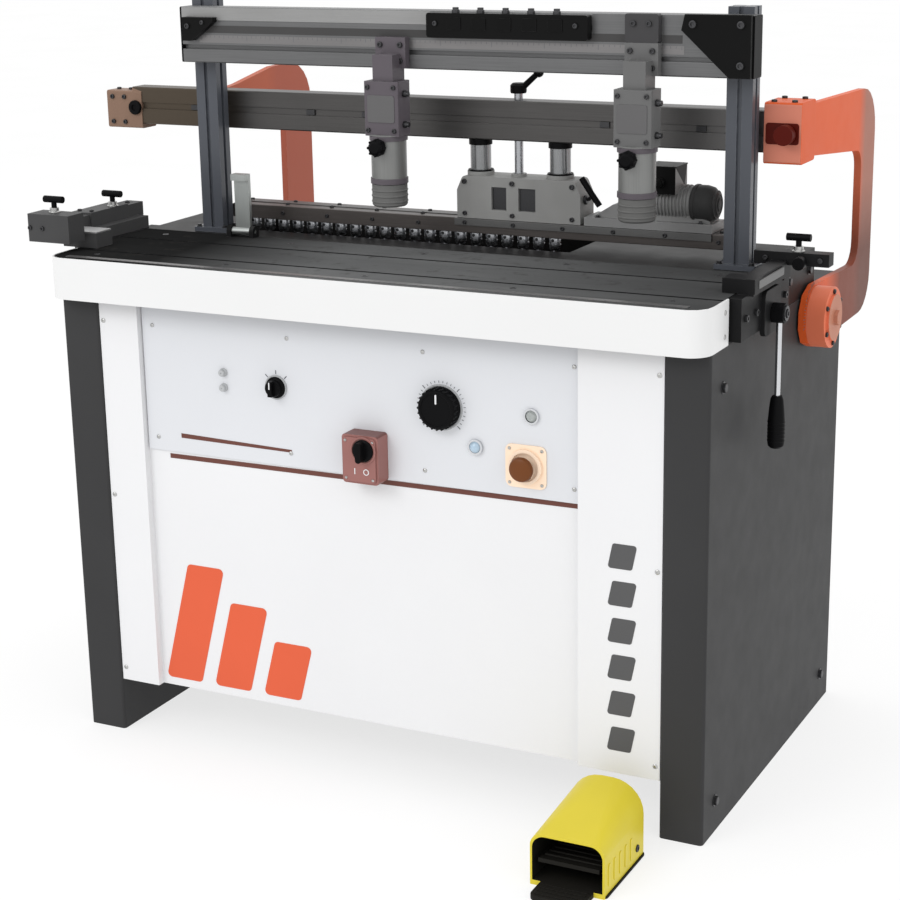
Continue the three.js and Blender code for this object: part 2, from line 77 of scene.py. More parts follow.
class Mat:
    """A small wrapper round one node material."""

    def __init__(self, name):
        self.m = bpy.data.materials.new(name)
        self.m.use_nodes = True
        self.t = self.m.node_tree
        self.b = self.t.nodes["Principled BSDF"]
        self.co = self.t.nodes.new("ShaderNodeTexCoord").outputs["Object"]

    def n(self, kind, **k):
        node = self.t.nodes.new(kind)
        for a, v in k.items():
            setattr(node, a, v)
        return node

    def link(self, a, b):
        self.t.links.new(a, b)

    def put(self, socket, v):
        self.b.inputs[socket].default_value = v

    def noise(self, scale, detail=3.0, stretch=(1, 1, 1), rough=0.55):
        mp = self.n("ShaderNodeMapping")
        mp.inputs["Scale"].default_value = stretch
        self.link(self.co, mp.inputs["Vector"])
        t = self.n("ShaderNodeTexNoise")
        t.inputs["Scale"].default_value = scale
        t.inputs["Detail"].default_value = detail
        t.inputs["Roughness"].default_value = rough
        self.link(mp.outputs["Vector"], t.inputs["Vector"])
        return t.outputs["Fac"]

    def ramp(self, fac, stops):
        r = self.n("ShaderNodeValToRGB")
        e = r.color_ramp.elements
        while len(e) < len(stops):
            e.new(0.5)
        for el, (p, c) in zip(e, stops):
            el.position = p
            el.color = (c[0], c[1], c[2], 1) if hasattr(c, "__len__") else (c, c, c, 1)
        self.link(fac, r.inputs["Fac"])
        return r.outputs["Color"]

    def mix(self, fac, a, b, mode="MIX"):
        x = self.n("ShaderNodeMix", data_type="RGBA", blend_type=mode)
        for s, v in ((x.inputs[0], fac), (x.inputs[6], a), (x.inputs[7], b)):
            if hasattr(v, "is_output"):
                self.link(v, s)
            elif hasattr(v, "__len__"):
                s.default_value = (v[0], v[1], v[2], 1)
            else:
                s.default_value = v
        return x.outputs[2]

    def math(self, op, a, b=0.0, clamp=False):
        x = self.n("ShaderNodeMath", operation=op, use_clamp=clamp)
        for s, v in ((x.inputs[0], a), (x.inputs[1], b)):
            if hasattr(v, "is_output"):
                self.link(v, s)
            else:
                s.default_value = v
        return x.outputs[0]

    def axis(self, i):
        s = self.n("ShaderNodeSeparateXYZ")
        self.link(self.co, s.inputs[0])
        return s.outputs[i]

    def edge(self, radius=0.003):
        """0 on flats, rising to 1 on sharp convex or concave edges."""
        bv = self.n("ShaderNodeBevel", samples=4)
        bv.inputs["Radius"].default_value = radius
        g = self.n("ShaderNodeNewGeometry")
        d = self.n("ShaderNodeVectorMath", operation="DOT_PRODUCT")
        self.link(bv.outputs["Normal"], d.inputs[0])
        self.link(g.outputs["Normal"], d.inputs[1])
        return self.math("SUBTRACT", 1.0, d.outputs["Value"], clamp=True)

    def colour(self, c):
        self.link(c, self.b.inputs["Base Color"])

    def rough(self, fac, lo, hi):
        r = self.n("ShaderNodeMapRange")
        r.inputs["To Min"].default_value = lo
        r.inputs["To Max"].default_value = hi
        self.link(fac, r.inputs["Value"])
        self.link(r.outputs["Result"], self.b.inputs["Roughness"])

    def bump(self, *layers):
        """layers of (height output, strength, distance), the first one lowest."""
        prev = None
        for h, s, d in layers:
            b = self.n("ShaderNodeBump")
            b.inputs["Strength"].default_value = s
            b.inputs["Distance"].default_value = d
            self.link(h, b.inputs["Height"])
            if prev is not None:
                self.link(prev, b.inputs["Normal"])
            prev = b.outputs["Normal"]
        self.link(prev, self.b.inputs["Normal"])


def tint(c, k):
    return tuple(min(1.0, x * k) for x in c)


def shade_zones(m, c, zones):
    """Painted shade and painted light: other tones that set in over the given stretches of the axes."""
    for tone, amount, bounds in zones:
        f = amount
        for ax, start, end in bounds:
            g = m.math("MULTIPLY", m.math("SUBTRACT", m.axis(ax), start), 1 / (end - start), clamp=True)
            f = m.math("MULTIPLY", g, f)
        c = m.mix(f, c, tone)
    return c


def paint(name, col, rough=0.42, peel=0.25, var=0.05, wear=None, dirt=0.0, coat=0.0, spec=0.22, zones=()):
    """Powder coat: orange-peel bump, faint mottling, scuffed edges, dust low down, and the painted shade and light of
    any zones.
    """
    m = Mat(name)
    big = m.noise(3.2, 4)
    fine = m.noise(190, 2)
    c = m.ramp(big, [(0.3, tint(col, 1 - var)), (0.7, tint(col, 1 + var))])
    c = m.mix(m.math("MULTIPLY", fine, 0.10), c, tint(col, 0.86))
    c = shade_zones(m, c, zones)
    if dirt:
        z = m.axis(2)
        low = m.math("SUBTRACT", 1.0, m.math("MULTIPLY", z, 4.0), clamp=True)
        low = m.math("MULTIPLY", low, m.math("MULTIPLY", m.noise(14, 5), dirt * 1.8), clamp=True)
        c = m.mix(low, c, (0.30, 0.27, 0.23))
    if wear:
        e = m.edge(0.0022)
        n = m.noise(70, 4)
        k = m.math("MULTIPLY", m.math("SUBTRACT", e, 0.10, clamp=True), 5.0, clamp=True)
        k = m.math("MULTIPLY", k, m.math("MULTIPLY", m.math("SUBTRACT", n, 0.42, clamp=True), 4.0, clamp=True), clamp=True)
        c = m.mix(m.math("MULTIPLY", k, 0.55), c, wear)
    m.colour(c)
    m.rough(m.noise(22, 3), rough - 0.06, rough + 0.08)
    m.bump((m.noise(720, 2), peel, 0.00025))
    m.put("Specular IOR Level", spec)
    if coat:
        m.put("Coat Weight", coat)
        m.put("Coat Roughness", 0.18)
    return m.m


def metal(name, col, rough=0.32, stretch=(1, 1, 1), var=0.10, scale=260, metallic=1.0, bump=0.12, grime=0.25, zones=()):
    """Drawn, ground or turned metal: long fine scratches along the longest axis."""
    m = Mat(name)
    grain = m.noise(scale, 3, stretch, 0.7)
    blot = m.noise(9, 4)
    c = m.ramp(grain, [(0.25, tint(col, 1 - var)), (0.75, tint(col, 1 + var))])
    c = m.mix(m.math("MULTIPLY", m.math("SUBTRACT", blot, 0.45, clamp=True), grime * 2), c, tint(col, 0.45))
    m.colour(shade_zones(m, c, zones))
    m.put("Metallic", metallic)
    m.rough(grain, rough - 0.07, rough + 0.10)
    m.bump((grain, bump, 0.0002))
    return m.m


def plastic(name, col, rough=0.38, grain=0.18, scale=520, var=0.06, sub=0.0, spec=0.35, edge_highlight=1.5):
    m = Mat(name)
    f = m.noise(scale, 2)
    c = m.ramp(m.noise(5, 3), [(0.3, tint(col, 1 - var)), (0.7, tint(col, 1 + var))])
    # Painted highlight: every edge is mixed towards a lighter tone of the colour.
    e = m.edge(0.0015)
    c = m.mix(m.math("MULTIPLY", e, 0.35), c, tuple(min(1, x * edge_highlight + 0.02) for x in col))
    m.colour(c)
    m.put("Specular IOR Level", spec)
    m.rough(f, rough - 0.05, rough + 0.07)
    m.bump((f, grain, 0.00018))
    if sub:
        m.put("Subsurface Weight", sub)
        m.put("Subsurface Radius", (0.004, 0.003, 0.001))
    return m.m


def lens(name, col):
    m = Mat(name)
    c = m.ramp(m.noise(160, 2), [(0.3, tint(col, 0.92)), (0.7, tint(col, 1.06))])
    m.colour(c)
    m.put("Roughness", 0.12)
    m.put("Transmission Weight", 0.25)
    m.put("Coat Weight", 0.6)
    m.bump((m.noise(420, 1), 0.08, 0.0002))
    return m.m


# ---- materials ------------------------------------------------------------------
CASE = paint("paint_dark_grey", (0.039, 0.039, 0.040), 0.50, 0.35, 0.06, wear=(0.20, 0.20, 0.20), spec=0.12)
WHITE = paint("paint_white", (0.758, 0.760, 0.772), 0.38, 0.16, 0.012)
PANEL = paint("paint_panel", (0.668, 0.680, 0.708), 0.36, 0.12, 0.015)
RAIL = paint("paint_rail", (0.74, 0.742, 0.742), 0.32, 0.14, 0.010, coat=0.10)
# Painted shade on the orange arms: towards the rear leg the orange blends to a dull brown, and on the lower rear part
# to a dark brown.
LEG_SHADE_ZONE = [(1, DY + 0.755, DY + 0.80)]
LOW_SHADE_ZONE = [(1, DY + 0.57, DY + 0.66), (2, 1.02, 0.89)]
ORANGE = paint("paint_orange", (0.64, 0.098, 0.022), 0.40, 0.22, 0.05, wear=(0.25, 0.14, 0.10), spec=0.10,
               zones=[((0.26, 0.155, 0.122), 0.76, LEG_SHADE_ZONE), ((0.105, 0.034, 0.022), 0.86, LOW_SHADE_ZONE)])
# Left arm: a darker, browner copy of the orange as painted shade, its rear leg darker still.
ORANGE_SHADED = paint("paint_orange_painted_shade", (0.43, 0.112, 0.062), 0.42, 0.22, 0.07, wear=(0.25, 0.14, 0.10), spec=0.10,
                    zones=[((0.35, 0.100, 0.070), 0.6, LEG_SHADE_ZONE)])
# Front faces of the right arm's sleeve: the orange painted browner and darker as painted shade.
SLEEVE_FRONT_SHADE = paint("paint_sleeve_front_shade", (0.59, 0.205, 0.140), 0.40, 0.22, 0.06, wear=(0.25, 0.14, 0.10), spec=0.10)
HUBPAINT = paint("paint_hub", (0.68, 0.172, 0.090), 0.40, 0.30, 0.12, wear=(0.25, 0.14, 0.10), spec=0.12)
HUBCAP = paint("paint_hub_cap", (0.46, 0.190, 0.122), 0.42, 0.25, 0.10, wear=(0.25, 0.14, 0.10), spec=0.12)
CAPPAINT = paint("paint_bar_end", (0.225, 0.142, 0.102), 0.42, 0.22, 0.08, spec=0.10)
BEDPAINT = paint("paint_bed", (0.016, 0.0155, 0.0155), 0.46, 0.30, 0.10, wear=(0.12, 0.12, 0.12), spec=0.15)
STOPPAINT = paint("paint_stop", (0.011, 0.011, 0.0115), 0.42, 0.25, 0.10, wear=(0.14, 0.14, 0.14), spec=0.08)
STOPL = paint("paint_stop_left", (0.060, 0.060, 0.061), 0.44, 0.25, 0.14, wear=(0.18, 0.18, 0.18), spec=0.08)
POST = paint("paint_post", (0.072, 0.078, 0.092), 0.34, 0.12, 0.08, wear=(0.30, 0.32, 0.34), coat=0.2)
PRESS = paint("paint_presser", (0.100, 0.087, 0.100), 0.42, 0.22, 0.09, wear=(0.28, 0.28, 0.28))
PRESSR = paint("paint_presser_grey", (0.130, 0.130, 0.130), 0.42, 0.22, 0.09, wear=(0.28, 0.28, 0.28))
BARREL = metal("anodised_barrel", (0.215, 0.218, 0.213), 0.36, (40, 40, 0.8), 0.08, 14, 0.55, 0.08)
CAST = paint("cast_carriage", (0.258, 0.258, 0.252), 0.50, 0.60, 0.22, wear=(0.42, 0.42, 0.42))
MOTOR = paint("paint_motor", (0.006, 0.006, 0.006), 0.36, 0.25, 0.10, wear=(0.07, 0.07, 0.07), spec=0.06)
FAN = paint("paint_fan_cover", (0.046, 0.046, 0.046), 0.40, 0.25, 0.10, wear=(0.08, 0.08, 0.08), spec=0.08)
PRESSD = paint("paint_clamp_dark", (0.050, 0.049, 0.051), 0.42, 0.22, 0.08, wear=(0.2, 0.2, 0.2), spec=0.15)
FOOTPLATE = paint("paint_motor_foot", (0.22, 0.22, 0.22), 0.44, 0.3, 0.10, wear=(0.5, 0.5, 0.5))
MOTORGREY = paint("paint_motor_grey", (0.215, 0.215, 0.213), 0.42, 0.3, 0.12, wear=(0.4, 0.4, 0.4))
PLATE = metal("ground_plate", (0.40, 0.40, 0.40), 0.36, (0.8, 60, 60), 0.08, 14, 0.6, 0.06)
PRINT_ORANGE = paint("print_orange", (0.70, 0.112, 0.046), 0.40, 0.06, 0.03)
PRINT_RED = paint("print_red_brown", (0.135, 0.050, 0.038), 0.42, 0.06, 0.04)
PRINT_PALE = paint("print_pale_orange", (0.84, 0.42, 0.28), 0.42, 0.06, 0.04)
PRINT_DARK = paint("print_charcoal", (0.088, 0.088, 0.090), 0.42, 0.06, 0.05)
TICK = paint("print_tick", (0.10, 0.11, 0.12), 0.45, 0.04, 0.04)
# The crossbar is painted darker and browner towards its left end as painted shade, and lighter over its right part as
# painted light.
BAR = metal("anodised_dark", (0.086, 0.083, 0.081), 0.40, (0.6, 60, 60), 0.14, 14, 0.75, 0.10,
            zones=[((0.070, 0.052, 0.034), 0.85, [(0, DX - 0.44, DX - 0.50)]), ((0.125, 0.122, 0.121), 0.85, [(0, DX + 0.34, DX + 0.52)])])
BEAM = metal("anodised_grey", (0.135, 0.136, 0.138), 0.38, (0.6, 60, 60), 0.14, 14, 0.6, 0.10)
BLOCK = metal("anodised_block", (0.086, 0.076, 0.072), 0.38, (0.8, 50, 50), 0.2, 14, 0.6, 0.08)
COLM = metal("column_grey", (0.26, 0.265, 0.27), 0.26, (40, 40, 0.6), 0.10, 12, 0.85, 0.05, 0.2)
CHROME = metal("chrome_steel", (0.62, 0.63, 0.65), 0.16, (40, 40, 0.6), 0.05, 12, 1.0, 0.04, 0.1)
TURNED = metal("turned_steel", (0.42, 0.43, 0.45), 0.26, (1, 1, 90), 0.10, 16, 1.0, 0.10, 0.35)
BOLT = metal("black_oxide_bolt", (0.055, 0.055, 0.058), 0.36, (1, 1, 1), 0.15, 420, 0.85, 0.15)
ZINC = metal("zinc_bolt", (0.50, 0.50, 0.49), 0.30, (1, 1, 1), 0.12, 420, 1.0, 0.12)
BRASS = metal("brass_fitting", (0.62, 0.42, 0.14), 0.26, (1, 1, 1), 0.08, 380, 1.0, 0.08)
FLIP = metal("satin_aluminium", (0.40, 0.42, 0.41), 0.38, (60, 60, 0.8), 0.08, 12, 0.9, 0.08)
# Beam front: a light strip along the top as painted highlight, and a dark strip as the painted shade of a slot.
STRIP_HIGHLIGHT = metal("painted_highlight_strip", (0.27, 0.27, 0.268), 0.40, (0.8, 60, 60), 0.06, 14, 0.3, 0.05)
SLOT_SHADE = plastic("painted_slot_shade", (0.060, 0.059, 0.059), 0.5, 0.2, spec=0.1)
RULE = metal("steel_rule", (0.20, 0.194, 0.194), 0.36, (0.8, 60, 60), 0.06, 14, 0.8, 0.05)
EDGE = metal("plate_edge", (0.125, 0.125, 0.124), 0.40, (0.8, 60, 60), 0.08, 14, 0.6, 0.06)
FACE = paint("paint_face_plate", (0.115, 0.113, 0.115), 0.40, 0.15, 0.06)
BLACKP = plastic("moulded_black", (0.004, 0.004, 0.0045), 0.40, 0.25, spec=0.06, edge_highlight=2.5)
OXBLOOD = plastic("oxblood_knob", (0.080, 0.006, 0.003), 0.40, 0.2, spec=0.08, edge_highlight=1.3)
GLOSSB = plastic("gloss_black", (0.005, 0.005, 0.005), 0.30, 0.08, spec=0.08, edge_highlight=2.0)
REDP = plastic("moulded_red", (0.30, 0.132, 0.118), 0.32, 0.12, spec=0.25, edge_highlight=1.2)
REDDARK = plastic("moulded_red_shade", (0.17, 0.070, 0.062), 0.36, 0.12, spec=0.2, edge_highlight=1.2)
STOPP = plastic("moulded_stop", (0.145, 0.045, 0.010), 0.32, 0.10, spec=0.2, edge_highlight=1.2)
YELLOW = plastic("moulded_yellow", (0.66, 0.545, 0.040), 0.36, 0.22, 420, 0.05, 0.03, spec=0.22, edge_highlight=1.15)
SIGNAL = plastic("signal_yellow", (0.93, 0.73, 0.56), 0.36, 0.12, 420, 0.04, spec=0.25, edge_highlight=1.1)
RUBBER = plastic("grey_rubber", (0.125, 0.125, 0.122), 0.60, 0.45, 380, 0.10)
RUBBERB = plastic("black_rubber", (0.012, 0.011, 0.009), 0.66, 0.5, 380, 0.12, spec=0.12)
GREYP = plastic("moulded_grey", (0.42, 0.43, 0.44), 0.42, 0.15)
BLUELENS = lens("pale_blue_lens", (0.52, 0.68, 0.82))
WHITELENS = lens("grey_lens", (0.44, 0.47, 0.46))


def table_material():
    """Ground plate: fine grinding lines along X, lighter bands, dark slots, and a painted sheen: light across the
    middle, going to painted shade towards both ends.
    """
    m = Mat("ground_table")
    grain = m.noise(12, 3, (0.8, 75, 75), 0.7)
    big = m.noise(4, 4, (0.5, 2.2, 1))
    c = m.ramp(grain, [(0.2, (0.089, 0.091, 0.092)), (0.8, (0.137, 0.139, 0.140))])
    c = m.mix(m.math("MULTIPLY", m.math("SUBTRACT", big, 0.45, clamp=True), 2.2, clamp=True), c, (0.165, 0.167, 0.168))
    # Painted reflection: the plate stays light across its middle in X and is blended to near black towards both ends.
    x = m.axis(0)
    centre_sheen = m.ramp(m.math("ADD", m.math("MULTIPLY", x, 0.8), 0.5), [(0.17, 0.0), (0.42, 1.0), (0.62, 1.0), (0.98, 0.42)])
    c = m.mix(m.math("MULTIPLY", m.math("SUBTRACT", 1.0, centre_sheen), 0.92), c, (0.006, 0.006, 0.006))
    spots = m.noise(38, 5)
    c = m.mix(m.math("MULTIPLY", m.math("SUBTRACT", spots, 0.58, clamp=True), 3.0, clamp=True), c, (0.035, 0.032, 0.030))
    m.colour(c)
    m.put("Specular IOR Level", 0.0)
    m.rough(grain, 0.45, 0.60)
    m.bump((m.noise(9, 4), 0.03, 0.001), (grain, 0.12, 0.0002))
    return m.m


TABLE = table_material()

# ---- CAD nodes: rounded edges and finishes -----------------------------------------


def smooth_group():
    """Smooth shading with edges over 35 degrees kept sharp."""
    g = bpy.data.node_groups.new("smooth_by_angle", "GeometryNodeTree")
    g.interface.new_socket("Geometry", in_out="INPUT", socket_type="NodeSocketGeometry")
    g.interface.new_socket("Geometry", in_out="OUTPUT", socket_type="NodeSocketGeometry")
    i, o = g.nodes.new("NodeGroupInput"), g.nodes.new("NodeGroupOutput")
    a = g.nodes.new("GeometryNodeSetShadeSmooth")
    a.domain = "FACE"
    a.inputs["Shade Smooth"].default_value = True
    b = g.nodes.new("GeometryNodeSetShadeSmooth")
    b.domain = "EDGE"
    b.inputs["Shade Smooth"].default_value = False
    e = g.nodes.new("GeometryNodeInputMeshEdgeAngle")
    c = g.nodes.new("FunctionNodeCompare")
    c.data_type, c.operation = "FLOAT", "GREATER_THAN"
    c.inputs[1].default_value = math.radians(35)
    g.links.new(e.outputs["Unsigned Angle"], c.inputs[0])
    g.links.new(i.outputs[0], a.inputs["Geometry"])
    g.links.new(a.outputs["Geometry"], b.inputs["Geometry"])
    g.links.new(c.outputs[0], b.inputs["Selection"])
    g.links.new(b.outputs["Geometry"], o.inputs[0])
    return g


SMOOTH = smooth_group()


def finish_mesh(o, bevel=0.0, segs=2, weld=False):
    if "custom_normal" in o.data.attributes:
        o.data.attributes.remove(o.data.attributes["custom_normal"])
    if weld:
        w = o.modifiers.new("weld", "WELD")
        w.merge_threshold = 2e-6
    if bevel:
        b = o.modifiers.new("bevel", "BEVEL")
        b.width = bevel / 1000
        b.segments = segs
        b.limit_method = "ANGLE"
        b.angle_limit = math.radians(38)
        b.miter_outer = "MITER_ARC"
    s = o.modifiers.new("smooth", "NODES")
    s.node_group = SMOOTH
    if bevel:
        n = o.modifiers.new("normals", "WEIGHTED_NORMAL")
        n.keep_sharp = True


def dress(node, mats, bevel=0.0, pick=None, segs=2):
    """Gives a CAD node its materials; pick(centre, normal) in working mm says which."""
    o = NODES[node]
    mats = mats if isinstance(mats, (list, tuple)) else [mats]
    o.data.materials.clear()
    for m in mats:
        o.data.materials.append(m)
    for p in o.data.polygons:
        k = 0
        if pick:
            c = p.center
            k = pick(((c.x - DX) * 1000, (c.y - DY) * 1000, c.z * 1000), p.normal)
        p.material_index = k
    finish_mesh(o, bevel, segs, weld=True)


dress("side_casing_left", CASE, 1.2)
dress("side_casing_right", CASE, 1.2)
dress("front_panel", WHITE, 0.7)
dress("rear_panel", CASE, 0.6)
dress("control_panel", [PANEL, WHITELENS], 0.5, lambda c, n: 1 if c[1] < 15.2 else 0)
dress("table_front_rail", RAIL, 1.4)
dress("table_top", [TABLE, STOPPAINT], 1.0, lambda c, n: 0 if c[2] > 927 and n.z > 0.5 else 1)
dress("table_rear_bed", BEDPAINT, 1.2)
dress("flip_stop", FLIP, 0.8)
dress("end_stop_left", [STOPL, BLACKP, STOPPAINT], 1.2, lambda c, n: 1 if c[2] > 1005 or (c[2] > 987 and c[1] > 100) else 2 if c[2] < 936 else 0)
dress("end_stop_right", [STOPPAINT, BLACKP], 1.2, lambda c, n: 1 if c[2] > 976 or (c[1] < 284 and c[2] > 945 and c[0] > 670) else 0)
dress("tilt_lock_lever", [BLACKP, CHROME], 0.6, lambda c, n: 1 if 742 < c[2] < 868 else 0)
for s in ("left", "right"):
    dress(f"gantry_post_{s}", POST, 0.7)
    dress(f"presser_{s}_body", [PRESS if s == "left" else PRESSR, BARREL], 1.4, lambda c, n: 1 if c[2] < 1150.5 else 0)
    dress(f"presser_{s}_rod", [RUBBER, CHROME], 0.8, lambda c, n: 1 if c[2] > 1062 else 0)
    dress(f"presser_{s}_knob", BLACKP, 0.8)
    dress(f"guide_column_{s}", [COLM, BLACKP], 0.4, lambda c, n: 1 if c[2] > 1116.5 else 0)
    dress(f"pivot_hub_{s}", [HUBPAINT, HUBCAP], 1.5, lambda c, n: 1 if abs(c[0]) > 688.5 or abs(c[0]) < 650.6 else 0, segs=3)
# Right arm: orange with its painted shade zones; the sleeve's front faces take the painted-shade copy.
dress("tilt_arm_right", [ORANGE, SLEEVE_FRONT_SHADE], 1.8, lambda c, n: 1 if n.y < -0.9 and c[1] < 346 and c[2] > 1100 else 0, segs=3)
# The left arm takes the painted-shade copy of the orange.
dress("tilt_arm_left", ORANGE_SHADED, 1.8, segs=3)
dress("gantry_beam", BEAM, 0.7)
dress("crossbar", [BAR, OXBLOOD, CAPPAINT], 0.9, lambda c, n: 2 if c[0] < -683.5 else 1 if c[1] < 362 else 0)
dress("depth_stop_screw", [BLACKP, TURNED], 0.7, lambda c, n: 1 if c[2] < 1211 else 0)
dress("head_carriage", CAST, 1.6, segs=3)
dress("spindle_block", BLOCK, 1.2)


def motor_pick(c, n):
    x, y, z = c
    if z < 1002 or (z < 1026.5 and x < 352):
        return 1
    if 385.9 < x < 441.1 and (z > 1076 or y < 348):
        return 0
    return 3 if x > 461 else 2


dress("spindle_motor", [MOTOR, FOOTPLATE, MOTORGREY, FAN], 1.0, motor_pick)
dress("selector_knob", BLACKP, 0.6)
dress("regulator_dial", BLACKP, 0.6)
dress("main_switch_box", [REDP, REDDARK], 2.2, lambda c, n: 1 if abs(n.z) > 0.6 else 0, segs=3)
dress("main_switch_handle", BLACKP, 1.2)
dress("stop_button", STOPP, 1.0)


def pedal_pick(c, n):
    """The hood's inner walls and floor are painted dark as painted shade; the front lip is black rubber."""
    x, y, z = c
    if y < -240.5 or (n.z > 0.9 and 8 < z < 12):
        return 1
    if n.y < -0.9 and y > -80 and z < 127:
        return 1
    if abs(n.y) < 0.6 and n.x * (x - 487) + n.z * (z - 45) < -5 and z > 8.5:
        return 1
    return 0


# The hood takes black rubber on its front lip and, as painted shade, on its inner walls and floor.
dress("pedal_cover", [YELLOW, RUBBERB], 1.0, pedal_pick, segs=3)
dress("pedal_treadle", RUBBERB, 1.0)

# ---- piece builder --------------------------------------------------------------------


def axes(axis, u, v, a):
    if axis == "x":
        return (a, u, v)
    if axis == "y":
        return (u, a, v)
    return (u, v, a)


class Kit:
    """Collects closed shells into one mesh, in working millimetres."""

    def __init__(self):
        self.bm = bmesh.new()

    def _face(self, vs, m, flip=False):
        try:
            f = self.bm.faces.new(list(reversed(vs)) if flip else vs)
            f.material_index = m
        except ValueError:
            pass

    def prism(self, axis, pts, a0, a1, m=0):
        a = [self.bm.verts.new(W(*axes(axis, u, v, a0))) for u, v in pts]
        b = [self.bm.verts.new(W(*axes(axis, u, v, a1))) for u, v in pts]
        n = len(pts)
        made = []
        for i in range(n):
            j = (i + 1) % n
            made.append(self.bm.faces.new((a[i], a[j], b[j], b[i])))
        made.append(self.bm.faces.new(list(reversed(a))))
        made.append(self.bm.faces.new(b))
        for f in made:
            f.material_index = m
        return self

    def box(self, x0, x1, y0, y1, z0, z1, m=0):
        return self.prism("z", [(x0, y0), (x1, y0), (x1, y1), (x0, y1)], z0, z1, m)

    def turn(self, axis, u, v, prof, seg=24, m=0):
        """A closed solid of revolution; prof is (radius, place along the axis)."""
        rings = []
        for r, a in prof:
            if r < 1e-6:
                rings.append([self.bm.verts.new(W(*axes(axis, u, v, a)))])
            else:
                rings.append([
                    self.bm.verts.new(W(*axes(axis, u + r * math.cos(2 * math.pi * i / seg), v + r * math.sin(2 * math.pi * i / seg), a)))
                    for i in range(seg)
                ])
        for p, q in zip(rings, rings[1:]):
            for i in range(seg):
                j = (i + 1) % seg
                if len(p) == 1 and len(q) == 1:
                    continue
                if len(p) == 1:
                    self._face([p[0], q[i], q[j]], m)
                elif len(q) == 1:
                    self._face([p[i], q[0], p[j]], m)
                else:
                    self._face([p[i], q[i], q[j], p[j]], m)
        for ring, flip in ((rings[0], False), (rings[-1], True)):
            if len(ring) > 1:
                self._face(ring, m, flip)
        return self

    def cyl(self, axis, u, v, r, a0, a1, seg=24, m=0):
        return self.turn(axis, u, v, [(0, a0), (r, a0), (r, a1), (0, a1)], seg, m)

    def ring(self, axis, u, v, r0, r1, a0, a1, seg=32, m=0):
        """A washer or collar."""
        rings = []
        for r, a in ((r0, a0), (r1, a0), (r1, a1), (r0, a1)):
            rings.append([
                self.bm.verts.new(W(*axes(axis, u + r * math.cos(2 * math.pi * i / seg), v + r * math.sin(2 * math.pi * i / seg), a)))
                for i in range(seg)
            ])
        for k in range(4):
            p, q = rings[k], rings[(k + 1) % 4]
            for i in range(seg):
                j = (i + 1) % seg
                self._face([p[i], q[i], q[j], p[j]], m)
        return self

    def sleeve(self, axis, outer, inner, a0, a1, m=0):
        """A hollow length between two outlines with the same number of points."""
        loops = []
        for pts, a in ((inner, a0), (outer, a0), (outer, a1), (inner, a1)):
            loops.append([self.bm.verts.new(W(*axes(axis, u, v, a))) for u, v in pts])
        n = len(outer)
        for q in range(4):
            p0, p1 = loops[q], loops[(q + 1) % 4]
            for i in range(n):
                j = (i + 1) % n
                self._face([p0[i], p1[i], p1[j], p0[j]], m)
        return self

    def tube(self, pts, r, seg=12, m=0, closed=False):
        """A round bar along the given points (working mm), with flat ends."""
        P = [W(*p) for p in pts]
        rr = r / 1000
        prev = None
        rings = []
        for i, p in enumerate(P):
            d = (P[min(i + 1, len(P) - 1)] - P[max(i - 1, 0)]).normalized()
            if prev is None:
                n = d.orthogonal().normalized()
            else:
                n = (prev - d * prev.dot(d)).normalized()
            prev = n
            b = d.cross(n)
            rings.append([self.bm.verts.new(p + (n * math.cos(2 * math.pi * k / seg) + b * math.sin(2 * math.pi * k / seg)) * rr) for k in range(seg)])
        for p, q in zip(rings, rings[1:]):
            for i in range(seg):
                j = (i + 1) % seg
                self._face([p[i], p[j], q[j], q[i]], m)
        self._face(list(reversed(rings[0])), m)
        self._face(rings[-1], m)
        return self

    def hexbolt(self, axis, u, v, a, s, r=6.5, h=4.5, m=0, washer=True):
        """A hex head on a washer; s is +1 or -1, the way it points."""
        if washer:
            self.turn(axis, u, v, [(0, a), (r * 1.45, a), (r * 1.45, a + s * 1.2), (0, a + s * 1.2)], 20, m)
            a += s * 1.2
        pts = [(0, a), (r * 1.12, a), (r * 1.12, a + s * (h - 0.8)), (r * 0.95, a + s * h), (0, a + s * h)]
        return self.turn(axis, u, v, pts, 6, m)

    def cap(self, axis, u, v, a, s, r=5.0, h=5.0, m=0):
        """A socket cap screw with its hex recess."""
        pts = [(0, a), (r, a), (r, a + s * (h - 0.6)), (r - 0.6, a + s * h), (r * 0.52, a + s * h), (r * 0.50, a + s * (h * 0.45)), (0, a + s * (h * 0.42))]
        return self.turn(axis, u, v, pts, 18, m)

    def pan(self, axis, u, v, a, s, r=4.0, m=0):
        """A low domed screw with a small recess."""
        pts = [(0, a), (r, a), (r * 0.96, a + s * 0.8), (r * 0.7, a + s * 1.7), (r * 0.3, a + s * 2.0), (r * 0.26, a + s * 1.1), (0, a + s * 1.0)]
        return self.turn(axis, u, v, pts, 16, m)

    def done(self, name, body, mats, bevel=0.0, segs=2):
        mats = mats if isinstance(mats, (list, tuple)) else [mats]
        bmesh.ops.recalc_face_normals(self.bm, faces=self.bm.faces[:])
        me = bpy.data.meshes.new(name)
        self.bm.to_mesh(me)
        self.bm.free()
        o = bpy.data.objects.new(name, me)
        bpy.context.scene.collection.objects.link(o)
        for m in mats:
            me.materials.append(m)
        finish_mesh(o, bevel, segs)
        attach(o, body)
        return o


def rounded(x0, x1, z0, z1, r, n=5):
    out = []
    for cx, cz, a in ((x1 - r, z1 - r, 0), (x0 + r, z1 - r, 90), (x0 + r, z0 + r, 180), (x1 - r, z0 + r, 270)):
        for i in range(n + 1):
            t = math.radians(a + 90 * i / n)
            out.append((cx + r * math.cos(t), cz + r * math.sin(t)))
    return out


